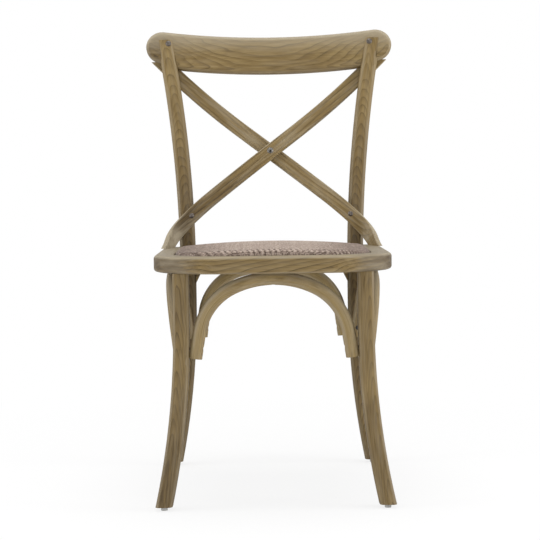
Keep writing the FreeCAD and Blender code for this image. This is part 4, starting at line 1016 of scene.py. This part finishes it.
@dataclass
class WoodenFrame:
    """Legs, back, seat frame and arches, which keep their solids and get their grain."""

    nodes: dict[str, bpy.types.Object]

    def middle(self, node: str) -> Triple:
        """Middle of a node's box."""
        low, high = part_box(node)
        return tuple((low + high) / 2)

    def rear_leg(self, node: str, sign: float) -> WoodFinish:
        """Steamed rear leg, which bends outwards below the seat and back above it."""
        grain = BentGrain(
            (sign * 0.172, 0.166, 0.0),
            bow=(sign * 0.616, 0.788),
            upper_start=0.41,
            upper_radius=1.562,
            lower_start=0.345,
            lower_radius=1.538,
            lower_bow=(sign * 0.905, 0.426),
        )
        return WoodFinish(
            f"{node}_wood",
            grain,
            seed=2.0 + sign,
            heart=(sign * -0.004, 0.038),
            wander=0.0095,
            contrast=0.56,
            shade=0.09,
            fade=Ramp(0.46, 0.86, -0.28),
        )

    def front_leg(self, node: str, sign: float) -> WoodFinish:
        """Front leg, which flares outwards to its foot."""
        grain = BentGrain(
            (sign * 0.168, -0.206, 0.0),
            lower_start=0.33,
            lower_radius=0.933,
            lower_bow=(sign * 0.58, -0.814),
        )
        return WoodFinish(
            f"{node}_wood",
            grain,
            seed=7.0 + sign,
            heart=(sign * 0.009, 0.030),
            taper=0.085,
            ring_width=0.0031,
            wander=0.0120,
            contrast=0.42,
            # the right leg is painted lighter than the left: painted light for the stronger light
            # from the right
            shade=-0.09 + 0.04 * sign,
            fade=Ramp(0.02, 0.25, -0.10),
        )

    def side_arch(self, node: str, sign: float) -> WoodFinish:
        """Arch between a front and a rear leg."""
        x, y, _ = self.middle(node)
        grain = HoopGrain((x, y, ARCH_FEET), face=(sign, 0, 0), half_span=0.17)
        # shade 0.10 paints the arch lighter, painted light for what the pale floor throws up under
        # the seat
        return WoodFinish(f"{node}_wood", grain, Figure.QUARTER, seed=12.0 + sign, shade=0.10)

    def cross_arch(self, node: str, seed: float, shade: float) -> WoodFinish:
        """Arch between the two front legs or the two rear legs."""
        x, y, _ = self.middle(node)
        return WoodFinish(
            f"{node}_wood",
            HoopGrain((x, y, ARCH_FEET)),
            Figure.QUARTER,
            seed=seed,
            wash_share=0.26,
            contrast=0.8,
            shade=shade,
        )

    def crest(self, node: str) -> WoodFinish:
        """Crest rail of bent layers, darker at its left end, with a painted highlight in wash
        colour along its top, which faces up to the light.
        """
        return WoodFinish(
            f"{node}_wood",
            Grain(self.middle(node), axis=(1, 0, 0)),
            Figure.LAYERED,
            seed=4.0,
            taper=0.0,
            ring_width=0.0028,
            wander=0.0105,
            contrast=0.68,
            shade=0.06,
            fade=Ramp(-0.235, -0.19, -0.22),
            # painted highlight along the top of the rail
            painted_highlight=Ramp(0.846, 0.893, 0.0, 0.60),
        )

    def strip(self, node: str, sign: float, fade: Ramp, painted_highlight: Ramp) -> WoodFinish:
        """Strip that rises across the back, towards the right where sign is 1."""
        return WoodFinish(
            f"{node}_wood",
            Grain(self.middle(node), axis=(sign * 0.771, 0.166, 0.615)),
            Figure.RIFT,
            seed=9.0 + sign,
            taper=0.0,
            ring_width=0.0060,
            wander=0.0028,
            contrast=0.60,
            shade=0.02,
            wash_share=0.42,
            fade=fade,
            painted_highlight=painted_highlight,
        )

    def seat_rail(self, node: str, fade: Ramp) -> WoodFinish:
        """Quarter of the seat ring. All four share one pattern, which runs on over the joints."""
        return WoodFinish(
            f"{node}_wood",
            RingGrain((0.0, -0.036, 0.44)),
            seed=1.5,
            heart=(-0.014, 0.012),
            taper=-0.13,
            ring_width=0.0060,
            wander=0.0080,
            contrast=0.70,
            shade=-0.02,
            fade=fade,
        )

    def finishes(self) -> dict[str, WoodFinish]:
        """Say how each wooden piece was cut and bent."""
        made: dict[str, WoodFinish] = {}
        for side, sign in SIDES:
            for piece, cut in (
                ("rear_leg", self.rear_leg),
                ("front_leg", self.front_leg),
                ("side_arch", self.side_arch),
            ):
                made[f"{piece}_{side}"] = cut(f"{piece}_{side}", sign)
        made["crest_rail"] = self.crest("crest_rail")
        # the front strip's foot is darker than its middle, painted shade, and has a pale end, a
        # painted highlight where its twisted face turns to the light
        foot_painted_shade, foot_painted_highlight = Ramp(-0.22, -0.02, -0.32), Ramp(0.515, 0.462, 0.0, 0.55)
        made["cross_strip_front"] = self.strip("cross_strip_front", 1.0, foot_painted_shade, foot_painted_highlight)
        made["cross_strip_rear"] = self.strip("cross_strip_rear", -1.0, NO_CHANGE, NO_CHANGE)
        made["seat_rail_front"] = self.seat_rail("seat_rail_front", NO_CHANGE)
        # the corners of the frame lie in shade, from the scarf joints outwards
        for side, sign in SIDES:
            node = f"seat_rail_{side}"
            made[node] = self.seat_rail(node, Ramp(sign * 0.175, sign * 0.115, -0.30))
        made["seat_rail_back"] = self.seat_rail("seat_rail_back", NO_CHANGE)
        # the arches' shade paints them lighter, the rear one more: painted light for what the pale
        # floor throws up under the seat
        made["front_arch"] = self.cross_arch("front_arch", 25.0, 0.20)
        made["rear_arch"] = self.cross_arch("rear_arch", 24.0, 0.30)
        for node in ("rear_corner_block_left", "rear_corner_block_right", "seat_board"):
            made[node] = WoodFinish(
                f"{node}_wood", Grain(self.middle(node), axis=(1, 0, 0)), seed=20.0, wash_share=0.1
            )
        made["strip_foot_dowels"] = WoodFinish(
            "strip_foot_dowels_wood", Grain(self.middle("strip_foot_dowels")), seed=21.0
        )
        return made

    def dress(self) -> None:
        """Give every wooden node its own finish."""
        for node, finish in self.finishes().items():
            repaint(self.nodes[node], finish.make())
            LOG.info("dressed %s", node)


AGED_HARDWARE = ("crest_screws", "strip_lower_screws")
DARK_HARDWARE = (
    "strip_upper_screws",
    "cross_nut",
    "arch_end_screws",
    "arch_crown_screws",
    "rear_leg_bolts",
    "rear_leg_nuts",
    "seat_board_screws",
)


@dataclass
class Hardware:
    """Screws, bolts, nuts and glides."""

    nodes: dict[str, bpy.types.Object]
    aged: MetalFinish = MetalFinish("aged_steel_finish")
    dark: MetalFinish = MetalFinish("dark_steel_finish", "2B2826", "141211", 0.55, 0.35)
    glide: PlainFinish = PlainFinish("glide_finish", "B4B4B2", "7C7B78", 0.45)
    socket: float = 0.0023

    def dress(self) -> None:
        """Give each fastener its plating and the glides their plastic."""
        aged, dark = self.aged.make(), self.dark.make()
        for node in AGED_HARDWARE:
            repaint(self.nodes[node], aged)
        low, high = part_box("cross_bolt")
        centre = (low + high) / 2
        hole = Hole(centre.x, centre.z, self.socket)
        bolt = MetalFinish("cross_bolt_finish", "75716C", "53504B", hole=hole)
        repaint(self.nodes["cross_bolt"], bolt.make())
        for node in DARK_HARDWARE:
            repaint(self.nodes[node], dark)
        repaint(self.nodes["foot_glides"], self.glide.make())
        LOG.info("dressed the hardware")


def repaint(piece: bpy.types.Object, material: bpy.types.Material) -> None:
    """Assign a material to every slot of a piece."""
    if not piece.material_slots:
        piece.data.materials.append(material)
    for place in piece.material_slots:
        place.material = material


@dataclass(frozen=True)
class Lamp:
    """Square softbox that faces the seat: its middle, its side and its watts."""

    name: str
    place: Triple
    size: float
    power: float
    aim: Triple = (0.0, 0.0, 0.45)

    def build(self) -> None:
        """Add the lamp to the scene."""
        data = bpy.data.lights.new(self.name, "AREA")
        data.shape, data.size, data.energy = "SQUARE", self.size, self.power
        lamp = bpy.data.objects.new(self.name, data)
        bpy.context.scene.collection.objects.link(lamp)
        lamp.location = self.place
        way = Vector(self.aim) - Vector(self.place)
        lamp.rotation_euler = way.to_track_quat("-Z", "Y").to_euler()


LAMPS = (
    Lamp("top", (0.0, 0.1, 2.9), 1.8, 34),
    Lamp("left", (-2.7, -0.5, 1.0), 1.3, 32),
    Lamp("right", (2.7, -0.5, 1.0), 1.3, 40),
    Lamp("low_front", (0.0, -2.9, 0.30), 1.5, 34),
)


@dataclass
class Studio:
    """Pale floor, white surroundings, soft lamps and the camera.

    The floor glows less between near_glow and far_glow, metres from its middle, so that the
    chair's shadow shows. The world gives ambient light and looks white itself.
    """

    lens: float = 104.5
    sensor: float = 36.0
    camera_place: Triple = (-0.019, -3.046, 0.600)
    tilt: float = math.radians(3.467)
    yaw: float = -0.00472
    roll: float = 0.013
    floor_half: float = 6.0
    floor_colour: Colour = (0.86, 0.86, 0.86)
    floor_glow: float = 0.80
    near_glow: float = 0.35
    far_glow: float = 1.3
    ambient: float = 0.54

    def camera(self) -> None:
        """Place the camera at the photograph's viewing angle."""
        data = bpy.data.cameras.new("camera")
        data.lens, data.sensor_width = self.lens, self.sensor
        camera = bpy.data.objects.new("camera", data)
        bpy.context.scene.collection.objects.link(camera)
        turned = (
            Matrix.Rotation(self.yaw, 4, "Z")
            @ Matrix.Rotation(math.pi / 2 - self.tilt, 4, "X")
            @ Matrix.Rotation(-self.roll, 4, "Z")
        )
        camera.matrix_world = Matrix.Translation(self.camera_place) @ turned
        bpy.context.scene.camera = camera

    def floor(self) -> None:
        """Lay a large pale floor that the camera and gloss see as white but for shadows."""
        corners = np.array([[-1, -1, 0], [1, -1, 0], [1, 1, 0], [-1, 1, 0]], float)
        quad = [np.array([[0, 1, 2, 3]])]
        floor = surface_object("floor", corners * self.floor_half, quad, smooth=False)
        paint = Paint("floor_paint")
        paint.finish({"Base Color": self.floor_colour, "Roughness": 0.9})
        seen = paint.node("ShaderNodeLightPath", output="Is Camera Ray").at_least(
            paint.node("ShaderNodeLightPath", output="Is Glossy Ray")
        )
        glow = paint.node("ShaderNodeEmission", {}, {"Color": (1.0, 1.0, 1.0), "Strength": 1.0})
        x, y, _ = paint.split(paint.place())
        share = x.hypotenuse(y).ramp(self.near_glow, self.far_glow, self.floor_glow, 1.0)
        values = {0: seen * share, 1: paint.lit(), 2: glow}
        surface = paint.node("ShaderNodeMixShader", {}, values)
        paint.tree.links.new(surface.socket, paint.output.inputs["Surface"])
        floor.data.materials.append(paint.material)

    def world(self) -> None:
        """White for the camera, gloss and glass, and a plain grey light for the rest."""
        world = bpy.data.worlds.new("studio")
        bpy.context.scene.world = world
        world.use_nodes = True
        tree = world.node_tree
        path = tree.nodes.new("ShaderNodeLightPath")
        seen = path.outputs["Is Camera Ray"]
        for name in ("Is Glossy Ray", "Is Transmission Ray"):
            either = tree.nodes.new("ShaderNodeMath")
            either.operation = "MAXIMUM"
            tree.links.new(seen, either.inputs[0])
            tree.links.new(path.outputs[name], either.inputs[1])
            seen = either.outputs[0]
        strength = tree.nodes.new("ShaderNodeMapRange")
        strength.inputs["To Min"].default_value = self.ambient
        strength.inputs["To Max"].default_value = 1.0
        tree.links.new(seen, strength.inputs["Value"])
        background = tree.nodes["Background"]
        background.inputs["Color"].default_value = (1, 1, 1, 1)
        tree.links.new(strength.outputs[0], background.inputs["Strength"])

    def build(self) -> None:
        """Set up the whole studio."""
        bpy.context.scene.view_settings.view_transform = "Standard"
        self.camera()
        self.floor()
        self.world()
        for lamp in LAMPS:
            lamp.build()


def main() -> None:
    """Load the frame, dress the chair and set up the studio."""
    logging.basicConfig(level=logging.INFO, format="%(name)s: %(message)s")
    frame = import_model()
    Studio().build()
    WoodenFrame(frame["nodes"]).dress()
    Hardware(frame["nodes"]).dress()
    seat = WovenSeat.over("seat_weave")
    seat.dress(seat.build())
    LOG.info("built the woven seat")


if __name__ == "__main__":
    main()
